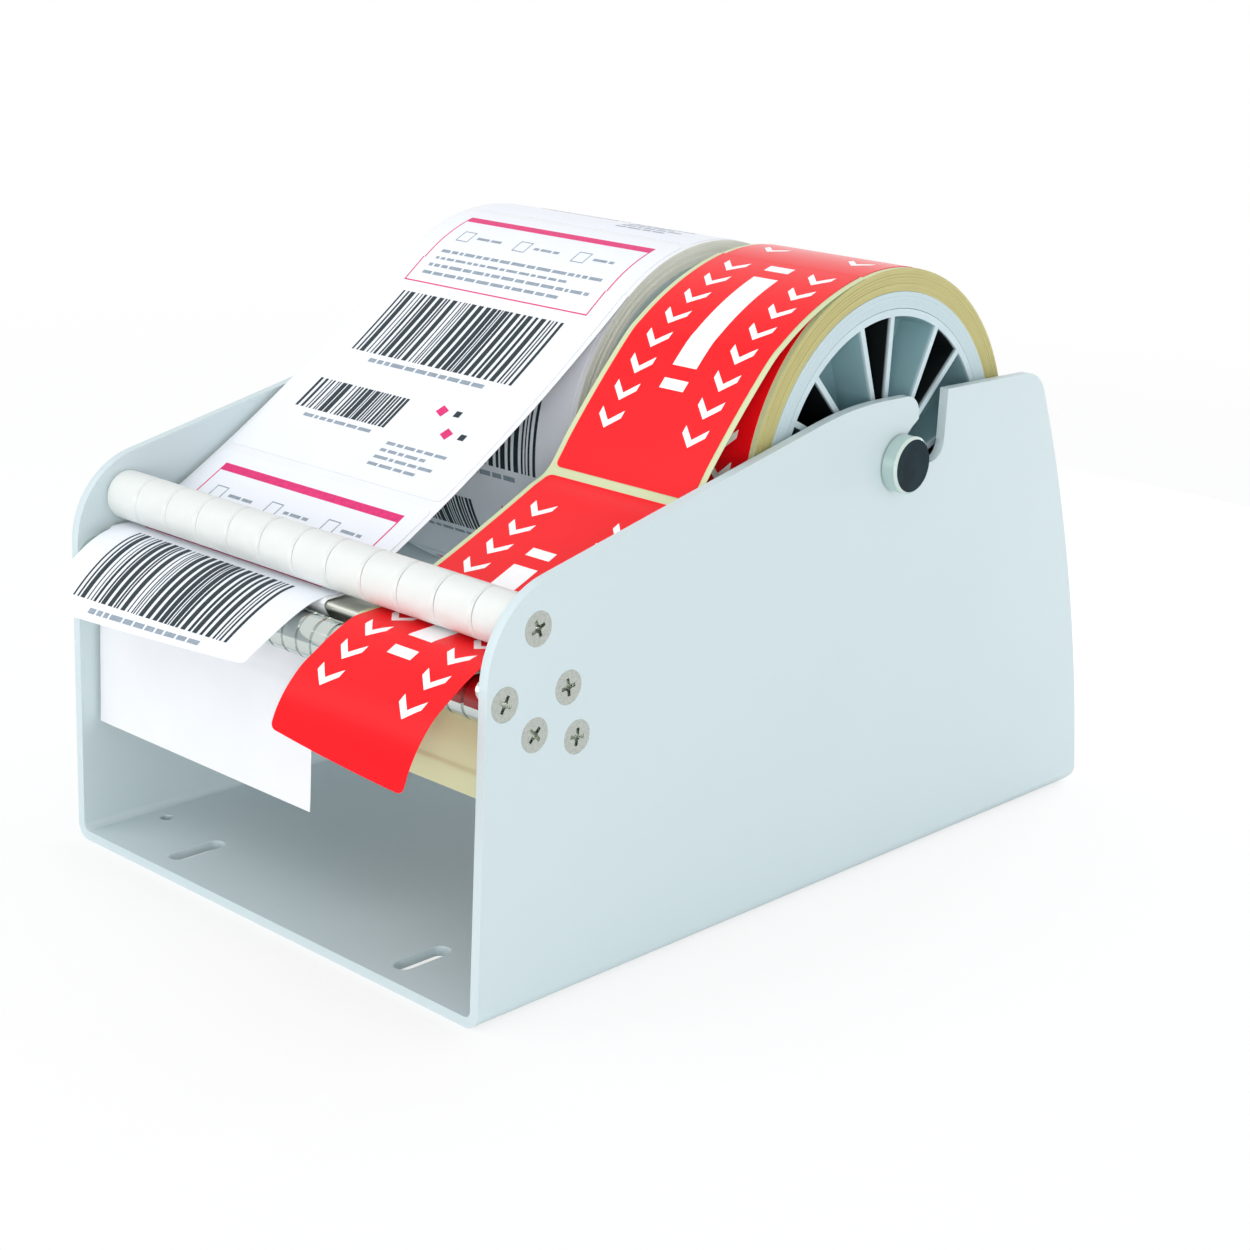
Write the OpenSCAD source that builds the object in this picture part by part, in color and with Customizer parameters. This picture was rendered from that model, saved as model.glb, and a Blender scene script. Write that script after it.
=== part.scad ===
// Bench-top dispenser for labels on rolls. A folded steel channel stands on the
// bench. Two rolls of labels hang on a loose spindle in J-shaped slots. Each web
// runs forward under a row of short guide rollers and over a peel bar, where the
// labels lift off and the liner turns down behind a polished front rod.
// Origin: centre of the underside. +X is the machine's right, -Y its front, +Z up.

/* [Body] */
// Overall width of the folded channel
body_w = 180; // [150:1:260]
// Length of the channel from front to rear
body_l = 287; // [280:1:345]
// Thickness of the sheet
sheet_t = 3; // [2:0.5:4]
// Inside radius of the two folds
fold_r = 2; // [1:0.5:4]
// Height of the level top edge of the side plates
side_h = 150; // [146:1:170]
// Height at which the sloping edge would meet the front
front_h = 116; // [112:0.5:118]
// Angle of the sloping top edge
slope_deg = 13.25; // [12:0.25:14]
// Radius that blends the sloping edge into the level one
blend_r = 130; // [40:5:150]
// Radius of the front top corners
front_corner_r = 27; // [20:1:30]
// Radius of the rear top corners
rear_corner_r = 12; // [6:1:20]
// Radius of the large curve of the rear edge
rear_curve_r = 480; // [400:10:700]
// How far the rear edge leans in at the level top edge
rear_lean = 47; // [35:1:50]
// Radius of the rear bottom corners
heel_r = 5; // [2:1:8]

/* [Bench fixing] */
// Length of each slot in the floor
floor_slot_l = 20; // [14:1:26]
// Width of each slot in the floor
floor_slot_w = 6; // [4:0.5:8]
// Distance between the two rows of slots
floor_slot_gap = 102; // [80:1:120]
// Distance of the slots from the front and rear edges
floor_slot_inset = 16; // [12:1:24]
// Diameter of the two small drain holes
drain_hole_d = 4.5; // [3:0.5:6]
// Distance of the small holes from the front edge
drain_hole_inset = 25; // [20:1:40]
// Distance of the small holes from the side plates
drain_hole_side = 8.3; // [6:0.1:12]

/* [Screws] */
// Diameter of a countersunk head
screw_head_d = 9.7; // [9:0.1:10]
// Diameter of the threaded shank
screw_d = 5; // [4:0.5:5.5]
// Length of a screw under its head
screw_l = 14; // [10:1:18]

/* [Guide rollers] */
// Distance of the roller rod from the front edge
roller_y = 17.6; // [16:0.1:20]
// Height of the roller rod
roller_z = 107.8; // [100:0.1:109]
// Outer diameter of the rollers
roller_d = 14.9; // [12:0.1:18]
// Diameter of the rod that carries the rollers
roller_rod_d = 9; // [8:0.5:10]
// Gap between neighbouring rollers
roller_gap = 0.4; // [0.2:0.1:1]

/* [Front rod and peel bar] */
// Diameter of the polished front rod
front_rod_d = 13; // [10:0.5:16]
// Distance between two ring grooves of the front rod
groove_pitch = 6; // [4:0.5:10]
// Width of a ring groove
groove_w = 1.1; // [0.6:0.1:2]
// Depth of a ring groove
groove_depth = 0.7; // [0.3:0.1:1.2]
// Nip between the front rod and the peel edge
nip_gap = 1.7; // [1.4:0.1:3]
// Distance of the peel edge behind the front edge of the channel
peel_front_y = 10.8; // [10:0.1:13]
// Depth of the top face of the peel bar from front to rear
peel_depth = 28; // [24:1:34]
// Wall thickness of the peel bar
peel_t = 2.4; // [2:0.1:2.9]
// Outer diameter of its three screw bosses
boss_d = 9.5; // [9:0.5:10]

/* [Spindle] */
// Distance of the spindle from the front edge
spindle_y = 167.4; // [164:0.1:170]
// Depth of the seated spindle below the level top edge
spindle_depth = 19.6; // [18:0.1:24]
// Diameter of the spindle
spindle_d = 10; // [8:0.5:12]
// Gap all round between the spindle and its seat
seat_gap = 0.3; // [0.2:0.1:0.5]
// Diameter of the end caps
cap_d = 17.4; // [15:0.1:20]
// Thickness of the end caps
cap_t = 5; // [4:0.5:8]
// Side play between a cap and its plate
cap_play = 0.5; // [0.3:0.1:1]

/* [Slots for the spindle] */
// Width of the slot mouth at the top edge
mouth_w = 16; // [15:0.5:18]
// Distance of the rear wall of the slot behind the spindle
mouth_rear = 22.6; // [22:0.1:24]
// Radius of the rounded lip in front of the mouth
lip_r = 6.5; // [3:0.5:7]
// Rise of the upper side of the slot
slot_rise_deg = 34; // [32:1:36]
// Rise of the lower side of the slot
slot_floor_deg = 11; // [8:1:14]

/* [Wheels] */
// Radial thickness of the rim
rim_t = 2.2; // [1.8:0.1:3]
// Depth of a wheel along the spindle
wheel_depth = 20; // [12:1:24]
// Diameter of the loose bore
bore_d = 21.6; // [20:0.1:24]
// Wall round the bore
hub_wall = 3; // [2:0.5:5]
// Number of box spokes
spoke_count = 8; // [4:1:8]
// Thickness of the spoke walls
spoke_wall = 1.8; // [1.4:0.1:2.4]

/* [Rolls] */
// Inner diameter of the cores
core_d = 101.6; // [80:0.1:122]
// Wall thickness of the cores
core_t = 4.9; // [3:0.1:6]
// Thickness of the paper left on the core of the wider roll
wide_wound_t = 6.3; // [2:0.1:20]
// Thickness of the paper left on the core of the narrower roll
narrow_wound_t = 6.9; // [2:0.1:20]
// Width of the wider liner
wide_liner_w = 100; // [60:1:102]
// Width of the narrower liner
narrow_liner_w = 56; // [30:1:58]
// Gap between the wider roll and the left side plate
wide_side_gap = 1.6; // [1:0.1:4]
// Gap between the narrower roll and the right side plate
narrow_side_gap = 2.6; // [1:0.1:5]
// Margin of bare liner beside the labels
liner_margin = 2; // [1:0.5:4]

/* [Paper] */
// Thickness drawn for a liner or a label
paper_t = 0.4; // [0.3:0.05:0.5]
// Gap between the paper and what it runs on
paper_gap = 0.3; // [0.2:0.05:0.3]
// Distance from the rollers back to the gap between two of the wider labels
wide_gap_back = 29.6; // [10:0.1:90]
// Height at which the liner of the wider roll ends
wide_tail_z = 38; // [20:1:60]
// Height at which the liner of the narrower roll ends
narrow_tail_z = 62; // [30:1:70]

/* [Hidden] */
$fn = 96;
roller_fits = 0.05;
thread_fits = 0.04;
wheel_fits = 0.15;
hang_gap = 0.1;
hole_play = 0.6;
cut = 1;
inner_w = body_w - 2 * sheet_t;
slope = tan(slope_deg);
spindle_z = side_h - spindle_depth;
front_arc_z = front_h + slope * front_corner_r - front_corner_r / cos(slope_deg);
level_y = (side_h - front_h) / slope;
roller_count = 12;
roller_len = (inner_w - roller_gap) / roller_count - roller_gap;
wheel_at = [spindle_y, spindle_z - (bore_d - spindle_d) / 2 + hang_gap];
wheel_d = core_d - 2 * wheel_fits;
core_od = core_d + 2 * core_t;
wide_roll_d = core_od + 2 * wide_wound_t;
narrow_roll_d = core_od + 2 * narrow_wound_t;
wide_x0 = -inner_w / 2 + wide_side_gap;
wide_x1 = wide_x0 + wide_liner_w;
narrow_x1 = inner_w / 2 - narrow_side_gap;
narrow_x0 = narrow_x1 - narrow_liner_w;

// Points of the side profile are [distance from front, height]. The paper runs
// under the rollers, and the peel bar lies just under the paper.
function polar(c, r, a) = [c[0] + r * cos(a), c[1] + r * sin(a)];
roller_at = [roller_y, roller_z];
roller_path_r = roller_d / 2 + paper_gap + 2 * paper_t;
peel_drop = 0.4;
peel_top_z = roller_z - roller_path_r - paper_gap - peel_drop;
nose_at = [peel_front_y + peel_t / 2, peel_top_z - peel_t / 2];
nip_deg = 234;
front_rod_at = polar(nose_at, front_rod_d / 2 + peel_t / 2 + nip_gap, nip_deg);
peel_upper_at = nose_at + [17.5, -7.8];
peel_front_at = nose_at + [5.6, -18.3];
peel_rear_at = nose_at + [21.5, -22.4];
// Where the screws go through the side plates
screws_at = [roller_at, front_rod_at, peel_upper_at, peel_front_at, peel_rear_at];

ROLLERS = [for (i = [1 : 12]) str("guide_roller_", i)];

// ---- helpers ---------------------------------------------------------------

// Moves from a drawing that starts at the front edge to the origin at the middle
module from_front() translate([0, -body_l / 2, 0]) children();

// Extrudes a side profile, drawn as [distance from front, height], from x0 to x1
module across(x0, x1)
    from_front() translate([x0, 0, 0]) rotate([90, 0, 90]) linear_extrude(x1 - x0) children();

// Puts a shape whose axis is Z on a cross axis at a point of the side profile
module on_axis(at, x)
    from_front() translate([x, at[0], at[1]]) rotate([0, 90, 0]) children();

module tube(r_out, r_in, len)
    difference() {
        cylinder(r = r_out, h = len);
        translate([0, 0, -cut]) cylinder(r = r_in, h = len + 2 * cut);
    }

function unit(v) = v / norm(v);
function left_of(v) = [-v[1], v[0]];

// Normal of a path at its point i, from the directions on both sides
function path_normal(p, i) =
    let (a = i == 0 ? p[1] - p[0] : p[i] - p[i - 1],
         b = i == len(p) - 1 ? a : p[i + 1] - p[i])
    unit(left_of(unit(unit(a) + unit(b))));
function miter(p, i) =
    i == 0 || i == len(p) - 1 ? 1
    : 1 / max(0.5, path_normal(p, i) * left_of(unit(p[i] - p[i - 1])));
function offset_path(p, d) = [for (i = [0 : len(p) - 1]) p[i] + path_normal(p, i) * d * miter(p, i)];
function reversed(p) = [for (i = [len(p) - 1 : -1 : 0]) p[i]];

// A strip of paper along a path, between two distances to the left of it
module strip(p, d0, d1) polygon(concat(offset_path(p, d0), reversed(offset_path(p, d1))));

// ---- body ------------------------------------------------------------------

// Cross-section of the folded channel, seen from the front
module channel_section() {
    r_out = fold_r + sheet_t;
    module rounded_bottom(w, z0, r) {
        translate([-w / 2, z0 + r]) square([w, side_h + 2 * cut]);
        translate([-w / 2 + r, z0]) square([w - 2 * r, r + cut]);
        for (s = [-1, 1]) translate([s * (w / 2 - r), z0 + r]) circle(r);
    }
    difference() {
        intersection() {
            rounded_bottom(body_w, 0, r_out);
            translate([-body_w, 0]) square([2 * body_w, side_h + cut]);
        }
        rounded_bottom(inner_w, sheet_t, fold_r);
    }
}

// Centre of the large curve of the rear edge, through the heel and the lean-in
function rear_centre() =
    let (a = [body_l, 0], b = [body_l - rear_lean, side_h],
         half = (b - a) / 2, d = sqrt(pow(rear_curve_r, 2) - pow(norm(half), 2)))
    a + half + left_of(unit(half)) * d;

// Outline of a side plate, without its slot
module side_outline() {
    rc = rear_centre();
    corner_r = rear_curve_r - rear_corner_r;
    corner_z = side_h - rear_corner_r;
    corner = [rc[0] + sqrt(pow(corner_r, 2) - pow(corner_z - rc[1], 2)), corner_z];
    corner_tip = rc + unit(corner - rc) * rear_curve_r;
    heel = [rc[0] + sqrt(pow(rear_curve_r - heel_r, 2) - pow(heel_r - rc[1], 2)), heel_r];
    heel_tip = rc + unit(heel - rc) * rear_curve_r;
    arc_c = [front_corner_r, front_arc_z];
    arc_tip = polar(arc_c, front_corner_r, 90 + slope_deg);
    blend_c = [level_y + blend_r * tan(slope_deg / 2), side_h - blend_r];
    blend = [for (i = [0 : 6]) polar(blend_c, blend_r, 90 + slope_deg * i / 6)];
    intersection() {
        union() {
            polygon(concat([[0, 0], [heel[0], 0], heel, heel_tip, [body_l, heel_tip[1]],
                            [body_l, corner_tip[1]], corner_tip, corner, [corner[0], side_h]],
                           blend, [arc_tip, arc_c, [0, front_arc_z]]));
            translate(heel) circle(heel_r);
            translate(arc_c) circle(front_corner_r);
            translate(corner) circle(rear_corner_r);
        }
        translate(rc) circle(rear_curve_r, $fn = 360);
    }
}

// J-shaped slot: a mouth in the top edge, then a channel down and forward to the seat
module spindle_slot() {
    seat_r = spindle_d / 2 + seat_gap;
    seat = [spindle_y, spindle_z];
    rear = spindle_y + mouth_rear;
    front = rear - mouth_w;
    upper = polar(seat, seat_r, 90 + slot_rise_deg);
    lower = polar(seat, seat_r, slot_floor_deg - 90);
    knee_r = 6;
    floor_at = function(y) lower[1] + (y - lower[0]) * tan(slot_floor_deg);
    roof_at = function(y) upper[1] + (y - upper[0]) * tan(slot_rise_deg);
    knee = [rear - knee_r, floor_at(rear - knee_r) + knee_r / cos(slot_floor_deg)];
    lip_at = [front + 2 - lip_r, side_h - lip_r];
    translate(seat) circle(seat_r);
    translate(knee) circle(knee_r);
    polygon([seat, lower, polar(knee, knee_r, slot_floor_deg - 90), knee, [rear, knee[1]],
             [rear, side_h + cut], [lip_at[0], side_h + cut],
             for (a = [90 : -10 : 0]) polar(lip_at, lip_r, a),
             [lip_at[0] + lip_r, roof_at(lip_at[0] + lip_r)], upper]);
}

module side_screw_holes() {
    cone_h = (screw_head_d - screw_d) / 2;
    for (at = screws_at, s = [-1, 1])
        on_axis(at, 0) mirror([0, 0, s < 0 ? 1 : 0]) {
            cylinder(d = screw_d + hole_play, h = body_w);
            translate([0, 0, body_w / 2 - cone_h]) cylinder(d1 = screw_d, d2 = screw_head_d, h = cone_h);
            translate([0, 0, body_w / 2]) cylinder(d = screw_head_d, h = cut);
        }
}

module floor_slots() {
    straight = floor_slot_l - floor_slot_w;
    for (sx = [-1, 1], y = [floor_slot_inset, body_l - floor_slot_inset])
        from_front() translate([sx * floor_slot_gap / 2, y, -cut]) {
            translate([-floor_slot_w / 2, -straight / 2, 0])
                cube([floor_slot_w, straight, sheet_t + 2 * cut]);
            for (e = [-1, 1]) translate([0, e * straight / 2, 0])
                cylinder(d = floor_slot_w, h = sheet_t + 2 * cut);
        }
    for (sx = [-1, 1])
        from_front() translate([sx * (inner_w / 2 - drain_hole_side), drain_hole_inset, -cut])
            cylinder(d = drain_hole_d, h = sheet_t + 2 * cut);
}

module body_channel() color("#cfdde0")
    difference() {
        intersection() {
            from_front() translate([0, body_l, 0]) rotate([90, 0, 0])
                linear_extrude(body_l) channel_section();
            across(-body_w / 2 - cut, body_w / 2 + cut) side_outline();
        }
        across(-body_w, body_w) spindle_slot();
        side_screw_holes();
        floor_slots();
    }

// ---- cross members ---------------------------------------------------------

// A rod between the side plates, tapped at both ends
module cross_rod(at, d)
    difference() {
        on_axis(at, -inner_w / 2) cylinder(d = d, h = inner_w);
        tapped_holes(at);
    }

module tapped_holes(at)
    for (s = [-1, 1])
        on_axis(at, s * (inner_w - screw_l) / 2)
            cylinder(d = screw_d, h = screw_l + 2 * cut, center = true);

module roller_rod() color("#b8bdbf") cross_rod(roller_at, roller_rod_d);

// The front rod has ring grooves, so that labels do not stick to it
module front_rod() {
    r = front_rod_d / 2;
    r_low = r - groove_depth;
    count = floor(inner_w / groove_pitch) - 1;
    first = (inner_w - (count - 1) * groove_pitch) / 2;
    color("#d9dcde") difference() {
        on_axis(front_rod_at, -inner_w / 2) rotate_extrude() polygon(concat(
            [[0, 0], [r, 0]],
            [for (i = [0 : count - 1]) let (x = first + i * groove_pitch)
                each [[r, x - groove_w / 2], [r_low, x - groove_w / 4],
                      [r_low, x + groove_w / 4], [r, x + groove_w / 2]]],
            [[r, inner_w], [0, inner_w]]));
        tapped_holes(front_rod_at);
    }
}

// One short guide roller, counted from the left
module guide_roller(i) {
    x = -inner_w / 2 + roller_gap + (i - 1) * (roller_len + roller_gap);
    edge = 0.7;
    r = roller_d / 2;
    r_in = roller_rod_d / 2 + roller_fits;
    color("#fdfefb") on_axis(roller_at, x) rotate_extrude()
        polygon([[r_in, 0], [r - edge, 0], [r, edge],
                 [r, roller_len - edge], [r - edge, roller_len], [r_in, roller_len]]);
}

// Extruded bar: a top plate whose front edge peels the labels off, on a triangle
// of walls with a screw boss in each corner
module peel_bar() {
    bosses = [peel_upper_at, peel_front_at, peel_rear_at];
    half = inner_w / 2;
    color("#d5d8cf") difference() {
        union() {
            on_axis(nose_at, -half) cylinder(d = peel_t, h = inner_w);
            across(-half, half) translate(nose_at - [0, peel_t / 2])
                square([peel_depth - peel_t / 2, peel_t]);
            across(-half, half) wall([peel_front_at[0], nose_at[1]], peel_front_at);
            across(-half, half) wall([peel_upper_at[0], nose_at[1]], peel_upper_at);
            across(-half, half) wall(peel_upper_at, peel_rear_at);
            across(-half, half) wall(peel_front_at, peel_rear_at);
            for (at = bosses) on_axis(at, -half) cylinder(d = boss_d, h = inner_w);
        }
        for (at = bosses) on_axis(at, -half - cut) cylinder(d = screw_d, h = inner_w + 2 * cut);
    }
}

module wall(a, b) {
    side = left_of(unit(b - a)) * peel_t / 2;
    polygon([a + side, b + side, b - side, a - side]);
}

// ---- screws ----------------------------------------------------------------

// Countersunk screw with a cross recess; its head faces +Z at z = 0
module screw() {
    cone_h = (screw_head_d - screw_d) / 2;
    shank_d = screw_d - 2 * thread_fits;
    head_d = screw_head_d - 2 * thread_fits;
    recess_l = screw_head_d * 0.52;
    recess_w = 1.1;
    recess_depth = 1.8;
    difference() {
        union() {
            translate([0, 0, -cone_h]) cylinder(d1 = shank_d, d2 = head_d, h = cone_h);
            translate([0, 0, -screw_l]) cylinder(d = shank_d, h = screw_l);
        }
        for (a = [0, 90]) rotate([0, 0, a]) translate([-recess_l / 2, -recess_w / 2, -recess_depth])
            cube([recess_l, recess_w, recess_depth + cut]);
        translate([0, 0, -recess_depth]) cylinder(d = recess_w * 2, h = recess_depth + cut);
    }
}

// The five screws of one side; the recesses stand at chance angles
module screws(side) color("#b9bfb4")
    for (i = [0 : len(screws_at) - 1])
        on_axis(screws_at[i], side * body_w / 2)
            mirror([0, 0, side < 0 ? 1 : 0]) rotate([0, 0, 25 + 37 * i]) screw();

// ---- spindle ---------------------------------------------------------------

spindle_at = [spindle_y, spindle_z];
spigot_d = spindle_d * 0.6;
spigot_l = cap_t * 0.7;
spindle_half = body_w / 2 + cap_play;

module spindle() color("#c3c8ca") {
    on_axis(spindle_at, -spindle_half) cylinder(d = spindle_d, h = 2 * spindle_half);
    on_axis(spindle_at, -spindle_half - spigot_l)
        cylinder(d = spigot_d, h = 2 * (spindle_half + spigot_l));
}

// Turned cap on the end of the spindle, with a chamfered face
module spindle_cap(side) {
    chamfer = 0.8;
    r = cap_d / 2;
    r_bore = spigot_d / 2 + thread_fits;
    bore_end = spigot_l + 0.1;
    color("#bcd2cb") on_axis(spindle_at, side * spindle_half) mirror([0, 0, side < 0 ? 1 : 0])
        rotate_extrude() polygon([[r_bore, 0], [r, 0], [r, cap_t - chamfer], [r - chamfer, cap_t],
                                  [0, cap_t], [0, bore_end], [r_bore, bore_end]]);
}

// ---- wheels, cores and rolls -----------------------------------------------

// Moulded wheel with open box spokes, from x to x + wheel_depth; the plate of each
// spoke lies back from the outer face. at_hub and at_rim are half widths of a spoke
module wheel(x, faces_right) {
    r_out = wheel_d / 2;
    r_in = r_out - rim_t;
    r_hub = bore_d / 2 + hub_wall;
    plate_t = 2;
    plate_z = wheel_depth * (faces_right ? 0.3 : 0.7) - plate_t / 2;
    first_deg = 32;
    at_hub = 4;
    at_rim = 12;
    foot = r_hub - 2;
    sunk = 0.5;
    module each_spoke()
        for (i = [0 : spoke_count - 1]) rotate(i * 360 / spoke_count + first_deg) children();
    color("#c3d7de") on_axis(wheel_at, x) {
        linear_extrude(wheel_depth) {
            ring(r_out, r_in);
            ring(r_hub, bore_d / 2);
            each_spoke() for (s = [-1, 1]) spoke_wall_line(foot, r_in + sunk, s * at_hub, s * at_rim);
        }
        translate([0, 0, plate_z]) linear_extrude(plate_t) each_spoke()
            polygon([[foot, -at_hub], [r_in, -at_rim], [r_in + sunk, 0], [r_in, at_rim], [foot, at_hub]]);
    }
}

module ring(r_out, r_in)
    difference() {
        circle(r_out);
        circle(r_in);
    }

module spoke_wall_line(r0, r1, y0, y1) {
    side = left_of(unit([r1 - r0, y1 - y0])) * spoke_wall / 2;
    polygon([[r0, y0] + side, [r1, y1] + side, [r1, y1] - side, [r0, y0] - side]);
}

module core(x0, x1) color("#dfe6e6") on_axis(wheel_at, x0) tube(core_od / 2, core_d / 2, x1 - x0);

module wound_roll(x0, x1, d, tint) color(tint) on_axis(wheel_at, x0) tube(d / 2, core_od / 2, x1 - x0);

// ---- paper -----------------------------------------------------------------

// A path is the underside of the liner, from the roll forward. It runs towards the
// front, so the labels lie to its right, on the upper side.
function between(a, b, t) = a + (b - a) * t;

// Points of a stretch that sags below its chord by drop at the middle
function sagging(a, b, drop, t0, t1, n) =
    [for (i = [0 : n]) let (t = t0 + (t1 - t0) * i / n) between(a, b, t) - [0, 4 * drop * t * (1 - t)]];

// Where both webs come down to the rollers
entry_at = roller_at + [10.4, 3.9 - roller_path_r];

// Half of the bare stretch of liner between two labels
label_gap_half = 1.6;

// The wider web leaves its roll along a tangent and sags a little on its way
wide_sag = 3.2;
wide_path_r = wide_roll_d / 2 + paper_gap;
wide_aim = entry_at - [0, 4 * wide_sag] - wheel_at;
wide_leave_deg = atan2(wide_aim[1], wide_aim[0]) - acos(wide_path_r / norm(wide_aim));
wide_leave = polar(wheel_at, wide_path_r, wide_leave_deg);
wide_span = norm(entry_at - wide_leave);
wide_gap_from = 1 - (wide_gap_back + label_gap_half) / wide_span;
wide_gap_to = 1 - (wide_gap_back - label_gap_half) / wide_span;
wide_rear = sagging(wide_leave, entry_at, wide_sag, 0, wide_gap_from, 8);
wide_front = sagging(wide_leave, entry_at, wide_sag, wide_gap_to, 1, 3);

// The narrower web springs off its roll in a loose curve, bulges on its way down and
// folds at the gap between two labels
narrow_path_r = narrow_roll_d / 2 + paper_gap;
narrow_leave_deg = 104;
narrow_off_deg = 143;
narrow_lift = 5.2;
narrow_bulge = 1.3;
narrow_sag = 0.7;
fold_at = entry_at + [54, 25.4];
narrow_loose = [for (i = [0 : 4]) let (t = i / 4)
    polar(wheel_at, narrow_path_r + narrow_lift * t * t,
          narrow_leave_deg + (narrow_off_deg - narrow_leave_deg) * t)];
narrow_off = narrow_loose[4];
narrow_gap_from = 1 - label_gap_half / norm(fold_at - narrow_off);
narrow_gap_to = label_gap_half / norm(entry_at - fold_at);
narrow_rear = concat(narrow_loose, sagging(narrow_off, fold_at, -narrow_bulge, 0.2, narrow_gap_from, 4));
narrow_front = sagging(fold_at, entry_at, narrow_sag, narrow_gap_to, 1, 6);

// Under the rollers to the top of the peel edge
nose_path_r = peel_t / 2 + paper_gap;
to_the_edge = concat([for (a = [-55, -72, -90]) polar(roller_at, roller_path_r, a)],
                     [polar(nose_at, nose_path_r, 90)]);

// Round the peel edge, down behind the front rod and forward to the hanging tail
rod_path_r = front_rod_d / 2 + paper_gap + paper_t;
function turn_down(tail_z) =
    let (off_rod = polar(front_rod_at, rod_path_r, -50))
    concat([for (a = [120 : 30 : 180]) polar(nose_at, nose_path_r, a)],
           [for (a = [30 : -20 : -50]) polar(front_rod_at, rod_path_r, a)],
           [off_rod - [1.6, 3.5], off_rod - [3.4, 8.8], off_rod - [4.5, 15.3],
            [off_rod[0] - 5, tail_z + 6], [off_rod[0] - 5.2, tail_z]]);

// Peeled labels, which pass close over the front rod and droop beyond it
wide_tongue_l = 27.8;
wide_tongue_drop = 16.7;
wide_tongue = [for (i = [1 : 7]) let (t = i / 7)
    nose_at + [-wide_tongue_l * t, nose_path_r - wide_tongue_drop * pow(t, 1.6)]];
narrow_tongue = [for (v = [[-4.5, 1], [-9, -0.9], [-13.1, -3.1], [-17.5, -6], [-22.5, -9.5],
                           [-27.1, -14.5], [-30.5, -20], [-32.7, -25.6]]) nose_at + v];

module paper(x0, x1, path, layer, tint) color(tint)
    across(x0, x1) strip(path, -layer * paper_t, -(layer + 1) * paper_t);

module wide_paper(path, layer, margin, tint)
    paper(wide_x0 + margin, wide_x1 - margin, path, layer, tint);

module narrow_paper(path, layer, margin, tint)
    paper(narrow_x0 + margin, narrow_x1 - margin, path, layer, tint);

module wide_liner()
    wide_paper(concat(wide_rear, wide_front, to_the_edge, turn_down(wide_tail_z)), 0, 0, "#fafbff");
module wide_label_rear() wide_paper(wide_rear, 1, liner_margin, "#f0f3fc");
module wide_label_front()
    wide_paper(concat(wide_front, to_the_edge, wide_tongue), 1, liner_margin, "#f0f3fc");

module narrow_liner()
    narrow_paper(concat(narrow_rear, [fold_at], narrow_front, to_the_edge, turn_down(narrow_tail_z)),
                 0, 0, "#d2d6a8");
module narrow_label_rear() narrow_paper(narrow_rear, 1, liner_margin, "#ff323c");
module narrow_label_front()
    narrow_paper(concat(narrow_front, to_the_edge, narrow_tongue), 1, liner_margin, "#ff323c");

// ---- assembly --------------------------------------------------------------

body_channel();
roller_rod();
front_rod();
peel_bar();
screws(-1);  // screws_left
screws(1);  // screws_right
for (i = [1 : roller_count]) guide_roller(i);
spindle();
spindle_cap(-1);  // spindle_cap_left
spindle_cap(1);  // spindle_cap_right
wheel(wide_x0, false);  // wide_wheel_left
wheel(wide_x1 - wheel_depth, true);  // wide_wheel_right
core(wide_x0, wide_x1);  // wide_core
wound_roll(wide_x0, wide_x1, wide_roll_d, "#eef1f4");  // wide_roll
wheel(narrow_x0, false);  // narrow_wheel_left
wheel(narrow_x1 - wheel_depth, true);  // narrow_wheel_right
core(narrow_x0, narrow_x1);  // narrow_core
wound_roll(narrow_x0, narrow_x1, narrow_roll_d, "#e8323a");  // narrow_roll
wide_liner();
wide_label_front();
wide_label_rear();
narrow_liner();
narrow_label_front();
narrow_label_rear();
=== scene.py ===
"""Looks of a bench-top label dispenser, laid out as an add-on and run as a script.

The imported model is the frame: it holds every rigid piece in its place. The operators
give those pieces their finishes, and make the paper: the wound rolls, the liners and
the labels with their print. A side view is a pair (y, z), and lengths are in metres
unless a name ends in _mm.
"""

import math
import random

import bpy
import numpy as np
from bpy.props import FloatProperty, FloatVectorProperty, IntProperty, PointerProperty
from mathutils import Matrix, Vector


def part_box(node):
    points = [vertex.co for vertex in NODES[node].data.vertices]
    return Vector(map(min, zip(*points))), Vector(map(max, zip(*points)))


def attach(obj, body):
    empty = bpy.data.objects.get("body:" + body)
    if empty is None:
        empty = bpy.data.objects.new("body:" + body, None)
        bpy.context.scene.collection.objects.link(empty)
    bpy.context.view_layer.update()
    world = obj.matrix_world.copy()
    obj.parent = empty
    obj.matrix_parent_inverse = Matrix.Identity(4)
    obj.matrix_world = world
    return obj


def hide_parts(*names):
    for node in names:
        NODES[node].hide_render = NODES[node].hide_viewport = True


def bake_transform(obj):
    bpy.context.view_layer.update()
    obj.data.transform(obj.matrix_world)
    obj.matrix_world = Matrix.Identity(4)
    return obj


bl_info = {
    "name": "Label dispenser looks",
    "version": (1, 0, 0),
    "blender": (4, 5, 0),
    "location": "View3D > Sidebar > Dispenser",
    "description": "Finishes, paper and studio for a bench-top label dispenser",
    "category": "Object",
}

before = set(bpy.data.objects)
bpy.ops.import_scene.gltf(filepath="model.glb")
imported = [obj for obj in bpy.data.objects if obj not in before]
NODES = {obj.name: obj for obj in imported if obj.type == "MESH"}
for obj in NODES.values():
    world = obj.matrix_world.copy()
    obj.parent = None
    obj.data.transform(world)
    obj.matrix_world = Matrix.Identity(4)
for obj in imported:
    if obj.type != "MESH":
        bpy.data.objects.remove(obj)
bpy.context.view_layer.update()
MM = 0.001
ROLLERS = sorted((n for n in NODES if n.startswith("guide_roller_")), key=lambda n: int(n.split("_")[-1]))


# ---- colours and node trees ------------------------------------------------------


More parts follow.
